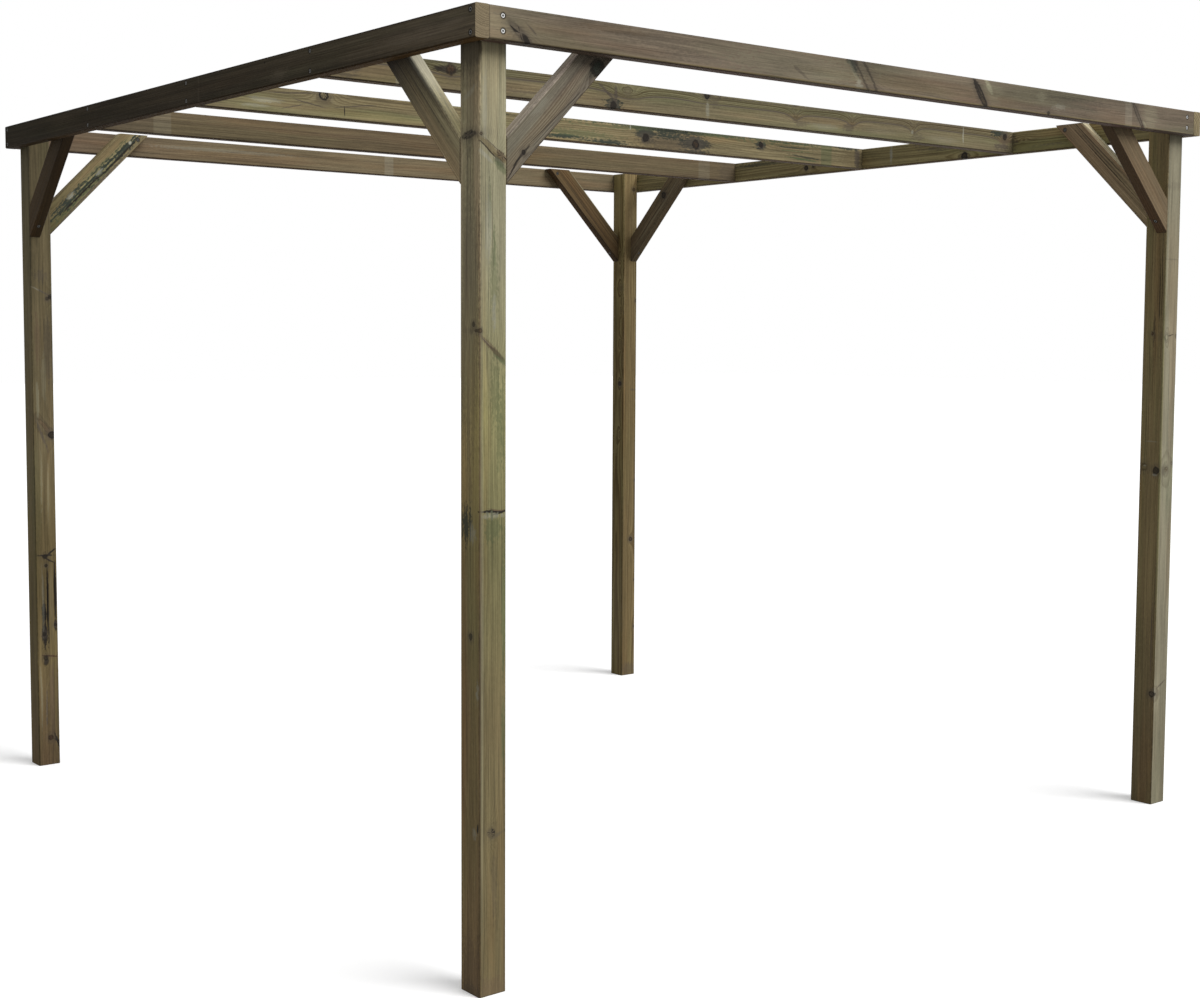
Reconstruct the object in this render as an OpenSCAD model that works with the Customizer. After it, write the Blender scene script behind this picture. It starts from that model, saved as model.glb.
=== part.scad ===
// Garden arbor: a free-standing open timber frame with a flat roof of rafters.
// Four square posts stand inside the corners of a roof frame. The two side beams
// run the full depth. The front beam, the back beam and three rafters fit between
// them, all flush at the top. Two knee braces stiffen each post, one to each beam.
// Origin: centre of the plan at ground level. +X right, +Y to the back, +Z up.

/* [Frame] */
// Width along the front, outside to outside of the side beams
frame_w = 3390; // [2600:10:4400]
// Depth from the front beam's face to the back beam's face
frame_d = 3390; // [2800:10:4400]
// Height from the ground to the top of the roof frame
frame_h = 2680; // [2100:10:3300]

/* [Timber] */
// Side of the square posts
post_side = 90; // [70:1:120]
// Thickness of the beams and rafters
beam_t = 45; // [35:1:60]
// Depth of the beams and rafters, top to bottom
beam_h = 90; // [75:1:150]
// Radius of the eased edges of the posts
post_ease = 5; // [1:0.5:10]
// Radius of the eased edges of the beams, rafters and braces
beam_ease = 3; // [1:0.5:8]

/* [Knee braces] */
// Length of a brace's two legs, down the post and out along the beam
brace_leg = 460; // [360:5:600]
// Width of a brace, across its slope
brace_w = 90; // [60:1:110]
// Thickness of a brace
brace_t = 45; // [35:1:60]

/* [Screws] */
// Diameter of a screw's countersunk head
head_d = 12; // [9:0.5:16]
// How far a head is driven in below the wood's face
head_sink = 0.5; // [0:0.1:1.5]
// Diameter of a screw's shank
shank_d = 6; // [4:0.5:8]
// Gap between a screw and its hole
hole_gap = 0.05; // [0.02:0.01:0.2]
// How far a screw goes into the second timber
screw_bite = 55; // [40:1:60]
// How far a brace's top screw stops short of the beam's outer face
tip_cover = 10; // [5:1:20]
// Height of the post screws in from the beam's top and bottom edges
post_screw_in = 25; // [24:1:30]
// Height of the side screws in from the beam's top and bottom edges
side_screw_in = 15; // [10:1:15]
// Depth of a brace's top screw below the top of the frame
brace_screw_down = 22; // [16:1:40]
// Distance of a brace's top screw in from the brace's long lower edge
brace_screw_in = 18; // [14:1:30]
// Distance of a brace's foot screw up the slope from the brace's lower tip
foot_screw_up = 60; // [45:1:90]

/* [Hidden] */
$fn = 32;

rafters = 3;
cross_l = frame_w - 2 * beam_t;
pitch = (frame_d - beam_t) / (rafters + 1);
post_face = beam_t + post_side;
post_mid = beam_t + post_side / 2;
beam_foot = frame_h - beam_h;
brace_foot = frame_h - brace_leg;
beam_screw_l = beam_t + screw_bite;
brace_top_l = brace_t + beam_t - tip_cover;
foot_screw_l = foot_screw_up + screw_bite;
// a countersunk head tapers at 45 degrees down to the shank
head_h = (head_d - shank_d) / 2;
// distance of a brace's top screw out from the post's face
brace_screw_out = brace_leg - brace_screw_down - brace_screw_in * sqrt(2);
// distance of a brace's foot screw out from the post's face, and up from the tip
foot_screw_out = foot_screw_up / sqrt(2);

post_color = [0.46, 0.43, 0.33];
beam_color = [0.42, 0.37, 0.30];
rafter_color = [0.45, 0.43, 0.31];
brace_color = [0.40, 0.35, 0.26];
screw_color = [0.75, 0.75, 0.72];

// Corner points of a rectangle with rounded corners, a 45 degree step at a time
function eased_outline(w, h, r) = [
    for (c = [[w - r, h - r, 0], [r, h - r, 90], [r, r, 180], [w - r, r, 270]])
    for (a = [0, 45, 90])
    [c[0] + r * cos(c[2] + a), c[1] + r * sin(c[2] + a)]
];

// A planed board lying along X, with its long edges eased
module board(length, thickness, depth, ease) {
    rotate([90, 0, 90])
    linear_extrude(length)
    polygon(eased_outline(thickness, depth, ease));
}

// Puts a corner's own frame in place: the origin is the roof frame's outer corner on the
// ground, X runs inwards along the front or back and Y inwards along the side
module at_corner(right, back) {
    mirror([right ? 1 : 0, 0, 0])
    mirror([0, back ? 1 : 0, 0])
    translate([-frame_w / 2, -frame_d / 2, 0])
    children();
}

// Swaps X and Y in a corner's own frame, from the front's brace to the side's brace
module along_side(swap) {
    mirror(swap ? [1, -1, 0] : [0, 0, 0])
    children();
}

// A countersunk screw driven down from Z = 0: its head lies head_sink below the wood's face
module screw(length) {
    translate([0, 0, -head_sink - head_h])
    cylinder(h = head_h, d1 = shank_d, d2 = head_d);
    translate([0, 0, -length])
    cylinder(h = length - head_sink - head_h, d = shank_d);
}

// Its hole: the taper runs on up to the wood's face
module screw_hole(length) {
    hole_d = shank_d + 2 * hole_gap;
    taper_h = head_h + head_sink;
    translate([0, 0, -taper_h])
    cylinder(h = taper_h, d1 = hole_d, d2 = hole_d + 2 * taper_h);
    translate([0, 0, -length - 1])
    cylinder(h = length + 1 - taper_h / 2, d = hole_d);
}

// Places of the screws, each with the Z axis pointing out of the wood

// Two screws through the front or back beam into the post
module at_post_screws() {
    for (z = [frame_h - post_screw_in, beam_foot + post_screw_in])
        translate([post_mid, 0, z])
        rotate([90, 0, 0])
        children();
}

// Two screws through the side beam into the end of cross member number i, 0 at the front
module at_side_screws(i) {
    for (z = [frame_h - side_screw_in, beam_foot + side_screw_in])
        translate([0, beam_t / 2 + i * pitch, z])
        rotate([0, -90, 0])
        children();
}

// The screw through a brace's top into the beam
module at_brace_top() {
    translate([post_face + brace_screw_out, beam_t + brace_t, frame_h - brace_screw_down])
    rotate([-90, 0, 0])
    children();
}

// The screw through a brace's long lower edge into the post
module at_brace_foot() {
    translate([post_face + foot_screw_out, beam_t + brace_t / 2, brace_foot + foot_screw_out])
    rotate([0, 135, 0])
    children();
}

// Holes of one corner, in the corner's own frame
module corner_holes() {
    at_post_screws() screw_hole(beam_screw_l);
    for (swap = [false, true])
        along_side(swap) {
            at_brace_top() screw_hole(brace_top_l);
            at_brace_foot() screw_hole(foot_screw_l);
        }
}

// Holes of both ends of all the cross members
module side_holes() {
    for (right = [false, true])
        at_corner(right, false)
        for (i = [0 : rafters + 1])
            at_side_screws(i) screw_hole(beam_screw_l);
}

module post(right, back) {
    color(post_color)
    at_corner(right, back)
    difference() {
        translate([beam_t, beam_t, 0])
        linear_extrude(frame_h)
        polygon(eased_outline(post_side, post_side, post_ease));
        corner_holes();
    }
}

// Cross member number i: 0 is the front beam, rafters + 1 is the back beam
module cross_member(i) {
    difference() {
        translate([-cross_l / 2, -frame_d / 2 + i * pitch, beam_foot])
        board(cross_l, beam_t, beam_h, beam_ease);
        for (right = [false, true])
            at_corner(right, false)
            at_side_screws(i) screw_hole(beam_screw_l);
        if (i == 0 || i == rafters + 1)
            for (right = [false, true])
                at_corner(right, i > 0)
                corner_holes();
    }
}

module side_beam(right) {
    color(beam_color)
    difference() {
        at_corner(right, false)
        mirror([1, -1, 0])
        translate([0, 0, beam_foot])
        board(frame_d, beam_t, beam_h, beam_ease);
        side_holes();
        for (back = [false, true])
            at_corner(right, back)
            corner_holes();
    }
}

// A brace runs up at 45 degrees from the post's face to the top of the frame. Its foot is
// cut upright against the post, and its top is cut level, flat on the beam's inner face.
module brace(right, back, side) {
    color(brace_color)
    at_corner(right, back)
    along_side(side)
    difference() {
        intersection() {
            translate([post_face, beam_t, brace_foot])
            rotate([0, -45, 0])
            translate([-brace_w, 0, 0])
            board(2 * brace_w + brace_leg * sqrt(2), brace_t, brace_w, beam_ease);
            translate([post_face, 0, brace_foot])
            cube([brace_leg, post_face, brace_leg]);
        }
        at_brace_top() screw_hole(brace_top_l);
        at_brace_foot() screw_hole(foot_screw_l);
    }
}

module cross_screws(back) {
    color(screw_color)
    for (right = [false, true])
        at_corner(right, back)
        at_post_screws() screw(beam_screw_l);
}

module side_screws(right) {
    color(screw_color)
    at_corner(right, false)
    for (i = [0 : rafters + 1])
        at_side_screws(i) screw(beam_screw_l);
}

module brace_screws(right, back) {
    color(screw_color)
    at_corner(right, back)
    for (swap = [false, true])
        along_side(swap) {
            at_brace_top() screw(brace_top_l);
            at_brace_foot() screw(foot_screw_l);
        }
}

module post_front_left() post(false, false);
module post_front_right() post(true, false);
module post_back_left() post(false, true);
module post_back_right() post(true, true);
module beam_front() color(beam_color) cross_member(0);
module beam_back() color(beam_color) cross_member(rafters + 1);
module beam_left() side_beam(false);
module beam_right() side_beam(true);
module rafter_1() color(rafter_color) cross_member(1);
module rafter_2() color(rafter_color) cross_member(2);
module rafter_3() color(rafter_color) cross_member(3);
module brace_front_left_x() brace(false, false, false);
module brace_front_left_y() brace(false, false, true);
module brace_front_right_x() brace(true, false, false);
module brace_front_right_y() brace(true, false, true);
module brace_back_left_x() brace(false, true, false);
module brace_back_left_y() brace(false, true, true);
module brace_back_right_x() brace(true, true, false);
module brace_back_right_y() brace(true, true, true);
module screws_beam_front() cross_screws(false);
module screws_beam_back() cross_screws(true);
module screws_beam_left() side_screws(false);
module screws_beam_right() side_screws(true);
module screws_brace_front_left() brace_screws(false, false);
module screws_brace_front_right() brace_screws(true, false);
module screws_brace_back_left() brace_screws(false, true);
module screws_brace_back_right() brace_screws(true, true);

post_front_left();
post_front_right();
post_back_left();
post_back_right();
beam_front();
beam_back();
beam_left();
beam_right();
rafter_1();
rafter_2();
rafter_3();
brace_front_left_x();
brace_front_left_y();
brace_front_right_x();
brace_front_right_y();
brace_back_left_x();
brace_back_left_y();
brace_back_right_x();
brace_back_right_y();
screws_beam_front();
screws_beam_back();
screws_beam_left();
screws_beam_right();
screws_brace_front_left();
screws_brace_front_right();
screws_brace_back_left();
screws_brace_back_right();
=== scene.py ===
import math
from functools import partial, reduce
from typing import NamedTuple

import bmesh
import bpy
from bpy.props import FloatProperty, FloatVectorProperty, IntProperty, PointerProperty
from bpy.types import Operator, Panel, PropertyGroup
from mathutils import Matrix, Vector


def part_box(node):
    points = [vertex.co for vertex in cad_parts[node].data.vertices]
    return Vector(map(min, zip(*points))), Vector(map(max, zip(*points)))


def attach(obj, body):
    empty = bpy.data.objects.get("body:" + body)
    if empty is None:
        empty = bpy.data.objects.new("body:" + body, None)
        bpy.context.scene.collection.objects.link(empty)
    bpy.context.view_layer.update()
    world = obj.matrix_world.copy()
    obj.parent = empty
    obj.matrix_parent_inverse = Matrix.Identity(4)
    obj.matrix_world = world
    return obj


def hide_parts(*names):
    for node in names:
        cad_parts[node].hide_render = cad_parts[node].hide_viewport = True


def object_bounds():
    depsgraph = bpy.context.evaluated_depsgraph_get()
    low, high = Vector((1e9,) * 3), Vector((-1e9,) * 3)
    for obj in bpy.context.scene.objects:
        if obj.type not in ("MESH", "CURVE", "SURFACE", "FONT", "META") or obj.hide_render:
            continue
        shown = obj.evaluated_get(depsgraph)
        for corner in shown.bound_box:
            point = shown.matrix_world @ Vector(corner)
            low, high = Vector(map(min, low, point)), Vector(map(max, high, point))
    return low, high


bl_info = {
    "name": "Garden Arbor",
    "version": (1, 0, 0),
    "blender": (4, 5, 0),
    "location": "3D View > Sidebar > Arbor",
    "description": "Finishes the timbers and screws of a garden arbor around its packed frame",
    "category": "Object",
}

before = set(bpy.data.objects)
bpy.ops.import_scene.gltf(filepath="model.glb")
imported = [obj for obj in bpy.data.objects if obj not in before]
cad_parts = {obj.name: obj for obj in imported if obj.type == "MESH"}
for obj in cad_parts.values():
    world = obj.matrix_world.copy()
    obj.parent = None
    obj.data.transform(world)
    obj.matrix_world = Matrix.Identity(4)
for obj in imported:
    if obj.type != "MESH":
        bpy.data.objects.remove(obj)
CAD_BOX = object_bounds()


# ---------------------------------------------------------------------------
# Settings
# ---------------------------------------------------------------------------

def length_property(name, description, default):
    """A length setting, in metres."""
    return FloatProperty(
        name=name, description=description, default=default, unit="LENGTH", precision=4
    )


def colour_property(name, description, default):
    """A colour setting, as linear red, green and blue."""
    return FloatVectorProperty(
        name=name, description=description, default=default, subtype="COLOR",
        size=3, min=0.0, max=1.0,
    )


def angle_property(name, description, degrees):
    """An angle setting, whose default is given in degrees."""
    return FloatProperty(
        name=name, description=description, default=math.radians(degrees), subtype="ANGLE"
    )


class ArborSizes(PropertyGroup):
    """Sizes of the timbers' edges and of the screws."""

    post_ease: length_property("Post edge radius", "Radius of the posts' long edges", 0.005)
    board_ease: length_property("Board edge radius", "Radius of the boards' long edges", 0.005)
    saw_ease: length_property("Sawn edge", "Chamfer round a sawn end", 0.0008)
    ease_steps: IntProperty(
        name="Edge steps", description="Faces across an eased edge", default=4, min=1, max=12
    )
    brace_w: length_property("Brace width", "Width of a brace across its slope", 0.090)
    head_d: length_property("Screw head", "Diameter of a countersunk head", 0.012)
    head_rim: length_property("Head rim", "Bevel round a head's flat top", 0.0003)
    head_sink: length_property("Head sink", "How far a head lies below the wood", 0.0005)
    shank_d: length_property("Shank", "Diameter of a screw's shank", 0.006)
    point_h: length_property("Point", "Length of a screw's point", 0.008)
    hole_gap: length_property("Hole gap", "Gap between a screw and its hole", 0.00005)
    drive_r: length_property("Drive radius", "Radius of the star recess in a head", 0.0031)
    drive_h: length_property("Drive depth", "Depth of the star recess in a head", 0.0028)
    screw_bite: length_property("Bite", "How far a screw enters the second timber", 0.055)
    tip_cover: length_property("Tip cover", "Wood left over a brace screw's tip", 0.010)
    post_screw_in: length_property("Post screw inset", "From the beam's top or bottom", 0.025)
    side_screw_in: length_property("Side screw inset", "From the beam's top or bottom", 0.015)
    brace_screw_down: length_property("Brace screw drop", "Below the top of the frame", 0.022)
    brace_screw_in: length_property("Brace screw inset", "From the brace's long edge", 0.018)
    foot_screw_up: length_property("Foot screw", "Up the slope from the brace's tip", 0.060)


class ArborColours(PropertyGroup):
    """Colours of the woods and metals, as linear values."""

    straw: colour_property("Straw", "Pale sapwood", (0.285, 0.265, 0.175))
    pale: colour_property("Pale", "Bleached and dusty wood", (0.340, 0.330, 0.260))
    olive: colour_property("Olive", "Green tinted pine", (0.188, 0.172, 0.084))
    fawn: colour_property("Fawn", "Yellow grey pine", (0.168, 0.140, 0.084))
    tan: colour_property("Tan", "Warm pine", (0.172, 0.135, 0.070))
    grey: colour_property("Grey brown", "Brown pine with a grey cast", (0.168, 0.136, 0.099))
    umber: colour_property("Umber", "Dark stained pine", (0.090, 0.073, 0.055))
    russet: colour_property("Russet", "Reddish brown pine", (0.140, 0.098, 0.058))
    sawn: colour_property("Sawn", "End grain", (0.310, 0.245, 0.150))
    knot: colour_property("Knot", "Heart of a knot", (0.070, 0.042, 0.024))
    bark: colour_property("Bark", "Dark ring round a knot", (0.022, 0.018, 0.014))
    mould: colour_property("Mould", "Blue black stain in sapwood", (0.036, 0.042, 0.031))
    moss: colour_property("Moss", "Green salts and algae", (0.096, 0.118, 0.056))
    zinc: colour_property("Zinc", "Bright plated screws", (0.560, 0.560, 0.545))
    # the dull zinc is this zinc painted darker, as painted shade, for screws that catch little light
    dull_zinc: colour_property("Dull zinc", "Tarnished screws", (0.090, 0.088, 0.082))
    floor: colour_property("Floor", "Plain floor", (0.800, 0.800, 0.800))


class ArborLight(PropertyGroup):
    """The lamp, the fill and the camera."""

    key: FloatProperty(
        name="Key", description="Share of full light from the lamp", default=0.97
    )
    key_height: angle_property("Key height", "Lamp's angle above the floor", 45.0)
    key_side: angle_property("Key side", "Lamp's angle from the front to the right", 25.0)
    key_spread: angle_property("Key spread", "Angle that the lamp fills", 40.0)
    fill: FloatProperty(name="Fill", description="Light from all round", default=0.50)
    bounce: FloatProperty(
        name="Bounce", description="Share of light that the floor sends back", default=0.20
    )
    floor_glow: FloatProperty(
        name="Floor glow", description="Light of its own that the floor shows", default=0.25
    )
    camera_place: FloatVectorProperty(
        name="Camera", description="Where the camera stands",
        default=(-4.284, -5.370, 1.806), subtype="TRANSLATION", unit="LENGTH",
    )
    camera_turn: FloatVectorProperty(
        name="Camera turn", description="How the camera is turned",
        default=tuple(map(math.radians, (85.924, -0.199, -38.179))), subtype="EULER",
    )
    camera_lens: FloatProperty(name="Lens", description="Focal length in mm", default=51.03)
    camera_shift: FloatVectorProperty(
        name="Shift", description="Shift of the lens", default=(0.0291, -0.0320), size=2
    )


# ---------------------------------------------------------------------------
# Shader maths
# ---------------------------------------------------------------------------

class Graph:
    """A material's or world's node tree. add() makes any node and returns its output."""

    def __init__(self, owner):
        owner.use_nodes = True
        self.tree = owner.node_tree
        self.tree.nodes.clear()

    def add(self, kind, settings=None, inputs=None, out=0):
        node = self.tree.nodes.new(kind)
        for name, value in (settings or {}).items():
            if name == "stops":
                self.fill_ramp(node.color_ramp, value)
            else:
                setattr(node, name, value)
        for name, value in (inputs or {}).items():
            socket = self.socket(node.inputs, name)
            if isinstance(value, Wire):
                self.tree.links.new(value.socket, socket)
            elif socket.type in ("VECTOR", "RGBA") and isinstance(value, (int, float)):
                socket.default_value = (value,) * len(socket.default_value)
            elif socket.type == "RGBA":
                socket.default_value = (*value[:3], 1.0)
            else:
                socket.default_value = value
        return Wire(self, self.socket(node.outputs, out)) if len(node.outputs) else None

    @staticmethod
    def socket(sockets, name):
        if isinstance(name, int):
            return sockets[name]
        return next(s for s in sockets if name in (s.identifier, s.name))

    @staticmethod
    def fill_ramp(ramp, stops):
        while len(ramp.elements) < len(stops):
            ramp.elements.new(1.0)
        for element, (place, colour) in zip(ramp.elements, stops):
            element.position = place
            element.color = (*colour, 1.0)[:4]

    def mix(self, share, first, second):
        return self.add(
            "ShaderNodeMix",
            {"data_type": "RGBA"},
            {"Factor_Float": share, "A_Color": first, "B_Color": second},
            "Result_Color",
        )

    def seen_from(self, matrix, place, scale=(1.0, 1.0, 1.0)):
        """A place in a matrix's own frame, counted in scale."""
        return self.add(
            "ShaderNodeMapping",
            {"vector_type": "TEXTURE"},
            {
                "Vector": place,
                "Location": matrix.translation,
                "Rotation": matrix.to_euler(),
                "Scale": scale,
            },
        )

    def noise(self, place, waves, seed, detail=2.0, roughness=0.5, out="Fac"):
        """Noise about 0.5, with so many waves a metre along X, Y and Z."""
        moved = self.add(
            "ShaderNodeVectorMath",
            {"operation": "MULTIPLY_ADD"},
            {0: place, 1: waves, 2: (seed, 1.7 * seed, -0.9 * seed)},
        )
        return self.add(
            "ShaderNodeTexNoise",
            None,
            {"Vector": moved, "Scale": 1.0, "Detail": detail, "Roughness": roughness},
            out,
        )

    def surface(self, values, relief):
        """Ends a material with a Principled surface, bumped by a relief."""
        bump = self.add("ShaderNodeBump", None, relief, "Normal")
        shader = self.add("ShaderNodeBsdfPrincipled", None, {**values, "Normal": bump})
        self.add("ShaderNodeOutputMaterial", None, {"Surface": shader})


class Wire:
    """A node's output that takes part in arithmetic, adding Math or Vector Math nodes."""

    def __init__(self, graph, socket):
        self.graph = graph
        self.socket = socket

    def other(self, name):
        """Another output of the same node."""
        return Wire(self.graph, Graph.socket(self.socket.node.outputs, name))

    def is_vector(self):
        return self.socket.type in ("VECTOR", "RGBA")

    def maths(self, operation, *values):
        spatial = any(
            v.is_vector() if isinstance(v, Wire) else isinstance(v, (tuple, Vector))
            for v in values
        )
        kind = "ShaderNodeVectorMath" if spatial else "ShaderNodeMath"
        return self.graph.add(kind, {"operation": operation}, dict(enumerate(values)))

    def __add__(self, other):
        return self.maths("ADD", self, other)

    def __radd__(self, other):
        return self.maths("ADD", other, self)

    def __sub__(self, other):
        return self.maths("SUBTRACT", self, other)

    def __rsub__(self, other):
        return self.maths("SUBTRACT", other, self)

    def __mul__(self, other):
        return self.maths("MULTIPLY", self, other)

    def __rmul__(self, other):
        return self.maths("MULTIPLY", other, self)

    def __truediv__(self, other):
        return self.maths("DIVIDE", self, other)

    def __rtruediv__(self, other):
        return self.maths("DIVIDE", other, self)

    def __abs__(self):
        return self.maths("ABSOLUTE", self)

    def least(self, other):
        return self.maths("MINIMUM", self, other)

    def most(self, other):
        return self.maths("MAXIMUM", self, other)

    def part(self):
        """What is left after the last whole number."""
        return self.maths("FRACT", self)

    def exp(self):
        return self.maths("EXPONENT", self)

    def clamp(self):
        return self.least(1.0).most(0.0)

    def unit(self):
        return self.maths("NORMALIZE", self)

    def length(self):
        return self.maths("LENGTH", self).other("Value")

    def dot(self, other):
        return self.maths("DOT_PRODUCT", self, other).other("Value")

    def gap_to(self, point):
        return self.maths("DISTANCE", self, point).other("Value")

    def parts(self):
        split = self.graph.add("ShaderNodeSeparateXYZ", None, {0: self})
        return [split.other(name) for name in "XYZ"]

    def smooth(self, low, high):
        """0 at low and 1 at high, with a soft step between. low may be over high."""
        return self.graph.add(
            "ShaderNodeMapRange",
            {"interpolation_type": "SMOOTHSTEP"},
            {"Value": self, "From Min": low, "From Max": high},
        )

    def bell(self, width):
        """1 where this is 0, falling off over width to both sides."""
        share = self / width
        return (share * share * -1.0).exp()


# ---------------------------------------------------------------------------
# Timbers: places
# ---------------------------------------------------------------------------

OUTWARD = {
    "front": Vector((0, -1, 0)),
    "back": Vector((0, 1, 0)),
    "left": Vector((-1, 0, 0)),
    "right": Vector((1, 0, 0)),
    "top": Vector((0, 0, 1)),
    "under": Vector((0, 0, -1)),
}
UP = OUTWARD["top"]

POSTS = tuple(f"post_{d}_{w}" for d in ("front", "back") for w in ("left", "right"))
SIDE_BEAMS = ("beam_left", "beam_right")
CROSS_BEAMS = ("beam_front", "beam_back")
RAFTERS = ("rafter_1", "rafter_2", "rafter_3")
BRACES = tuple(
    f"brace_{d}_{w}_{a}" for d in ("front", "back") for w in ("left", "right") for a in "xy"
)
TIMBERS = POSTS + SIDE_BEAMS + CROSS_BEAMS + RAFTERS + BRACES

TURNS = {
    "x": Matrix.Identity(3),
    "y": Matrix.Rotation(math.radians(90), 3, "Z"),
    "z": Matrix.Rotation(math.radians(-90), 3, "Y"),
}
# metres by which two measures may differ and still count as equal
SLACK = 0.001
# a direction that leans equally both ways counts as the later of X, Y and Z
TIE_BREAK = 0.0001


class Timber:
    """A timber's own frame, from its CAD node: X along the grain, Y and Z across it.

    cuts are the planes of its sawn ends: a direction out of the wood, and how far out."""

    def __init__(self, node, turn, size, middle):
        self.node = node
        self.turn = turn
        self.size = size
        self.matrix = Matrix.Translation(middle) @ turn.to_4x4()
        self.start = -size.x / 2
        self.cuts = [(Vector((-1, 0, 0)), size.x / 2), (Vector((1, 0, 0)), size.x / 2)]
        self.slanted = False

    def to_own(self, direction):
        """A direction of the world in the timber's own frame."""
        return self.turn.transposed() @ direction

    def outward(self, face):
        """A face's outward direction in the timber's own frame."""
        found = self.to_own(OUTWARD[face])
        index = max((1, 2), key=lambda i: abs(found[i]))
        own = Vector((0.0, 0.0, 0.0))
        own[index] = math.copysign(1.0, found[index])
        return own

    def sideways(self, face):
        """The own direction across a face that points most nearly up, right or back."""
        own = self.outward(face).cross(Vector((1, 0, 0)))
        world = self.turn @ own
        largest = max((0, 1, 2), key=lambda i: round(abs(world[i]), 3) + TIE_BREAK * i)
        return own if world[largest] > 0 else -own

    def half(self, own):
        """Half the timber's size in a direction of its own frame."""
        return sum(abs(own[i]) * self.size[i] for i in range(3)) / 2

    def spot(self, face, along, across):
        """The point on a face, in the timber's own frame."""
        out = self.outward(face)
        place = out * self.half(out) + self.sideways(face) * across
        place.x = self.start + along
        return place

    def holds(self, point):
        """True if a point of the world lies in or on the timber's box."""
        own = self.matrix.inverted() @ point
        return all(abs(own[i]) < self.size[i] / 2 + SLACK for i in range(3))


def straight_timber(axis, node):
    """A post, beam or rafter, whose length lies along an axis of the world."""
    low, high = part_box(node)
    turn = TURNS[axis]
    size = Vector([abs(v) for v in turn.transposed() @ (high - low)])
    return Timber(node, turn, size, (low + high) / 2)


def brace_timber(width, node):
    """A brace rises at 45 degrees from its post. X runs up the slope and Z up across it."""
    low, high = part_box(node)
    _, depth_side, width_side, axis = node.split("_")
    if axis == "x":
        heading = -OUTWARD[width_side]
        thickness = high.y - low.y
    else:
        heading = -OUTWARD[depth_side]
        thickness = high.x - low.x
    along = (heading + UP).normalized()
    across = (UP - heading).normalized()
    turn = Matrix((along, across.cross(along), across)).transposed()
    leg = high.z - low.z
    centre = (low + high) / 2
    middle = centre + across * width / 2
    timber = Timber(node, turn, Vector((leg * math.sqrt(2), thickness, width)), middle)
    # the foot is sawn upright against the post, and the top is sawn level
    timber.cuts = []
    for direction in (-heading, UP):
        own = timber.to_own(direction)
        timber.cuts.append((own, leg / 2 + own.dot(timber.to_own(centre - middle))))
    timber.slanted = True
    return timber


# ---------------------------------------------------------------------------
# Screws: places
# ---------------------------------------------------------------------------

class Screw(NamedTuple):
    """A screw's head centre on the wood's face, the way out of the wood, and its length."""

    head: Vector
    out: Vector
    length: float


def cross_beam_screws(sizes, side):
    """Two screws through the front or back beam into each post."""
    low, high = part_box("beam_" + side)
    face_y = low.y if side == "front" else high.y
    length = high.y - low.y + sizes.screw_bite
    made = []
    for hand in ("left", "right"):
        post_low, post_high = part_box(f"post_{side}_{hand}")
        middle = (post_low.x + post_high.x) / 2
        for z in (high.z - sizes.post_screw_in, low.z + sizes.post_screw_in):
            made.append(Screw(Vector((middle, face_y, z)), OUTWARD[side], length))
    return made


def side_beam_screws(sizes, hand):
    """Two screws through the side beam into the end of each cross member."""
    low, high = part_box("beam_" + hand)
    face_x = low.x if hand == "left" else high.x
    length = high.x - low.x + sizes.screw_bite
    made = []
    for member in CROSS_BEAMS + RAFTERS:
        member_low, member_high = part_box(member)
        middle = (member_low.y + member_high.y) / 2
        for z in (high.z - sizes.side_screw_in, low.z + sizes.side_screw_in):
            made.append(Screw(Vector((face_x, middle, z)), OUTWARD[hand], length))
    return made


def brace_screws(sizes, node):
    """The screw through a brace's top into the beam, and the one up into the post."""
    timber = brace_timber(sizes.brace_w, node)
    along, across = timber.turn.col[0], timber.turn.col[2]
    low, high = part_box(node)
    leg = high.z - low.z
    tip = (low + high) / 2 - along * timber.size.x / 2
    heading = (along - across).normalized()
    _, depth_side, width_side, axis = node.split("_")
    side = depth_side if axis == "x" else width_side
    inward = -OUTWARD[side]
    beam_low, beam_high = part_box("beam_" + side)
    beam_t = min(beam_high.x - beam_low.x, beam_high.y - beam_low.y)
    reach = leg - sizes.brace_screw_down - sizes.brace_screw_in * math.sqrt(2)
    top = tip + heading * reach + inward * timber.size.y / 2
    top.z = high.z - sizes.brace_screw_down
    foot = tip + along * sizes.foot_screw_up
    return [
        Screw(top, inward, timber.size.y + beam_t - sizes.tip_cover),
        Screw(foot, -across, sizes.foot_screw_up + sizes.screw_bite),
    ]


def all_screws(sizes):
    """Every screw, by the CAD node that holds it."""
    made = {f"screws_beam_{side}": cross_beam_screws(sizes, side) for side in ("front", "back")}
    made |= {f"screws_beam_{hand}": side_beam_screws(sizes, hand) for hand in ("left", "right")}
    for node in BRACES:
        made.setdefault(f"screws_{node[:-2]}", []).extend(brace_screws(sizes, node))
    return made


# ---------------------------------------------------------------------------
# Timbers: marks
# ---------------------------------------------------------------------------

class Knot(NamedTuple):
    """A knot: metres along the timber and across its face from the middle, and its radius.

    A lean of None is a round knot that goes reach deep. A number is a spike knot that lies
    in the face, at that angle in degrees to the timber's length, for span to both sides.
    tone and fill colour its wood, rim darkens its bark, and swirl bends the grain round it."""

    along: float
    across: float
    radius: float
    face: str = "front"
    lean: float = None
    span: float = 1.0
    tone: str = "knot"
    fill: float = 0.8
    rim: float = 0.8
    swirl: float = 1.0
    reach: float = 0.03


class Stain(NamedTuple):
    """A patch of colour on a face: its middle, its half length and half width, and its tone.

    ragged is how far the grain draws out its edge. A straight stain is a rectangle, such as
    the print that another board leaves."""

    along: float
    across: float
    half_l: float
    half_w: float
    tone: str
    share: float
    face: str = "front"
    lean: float = 0.0
    ragged: float = 1.0
    straight: bool = False
    depth: float = 0.012


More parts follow.
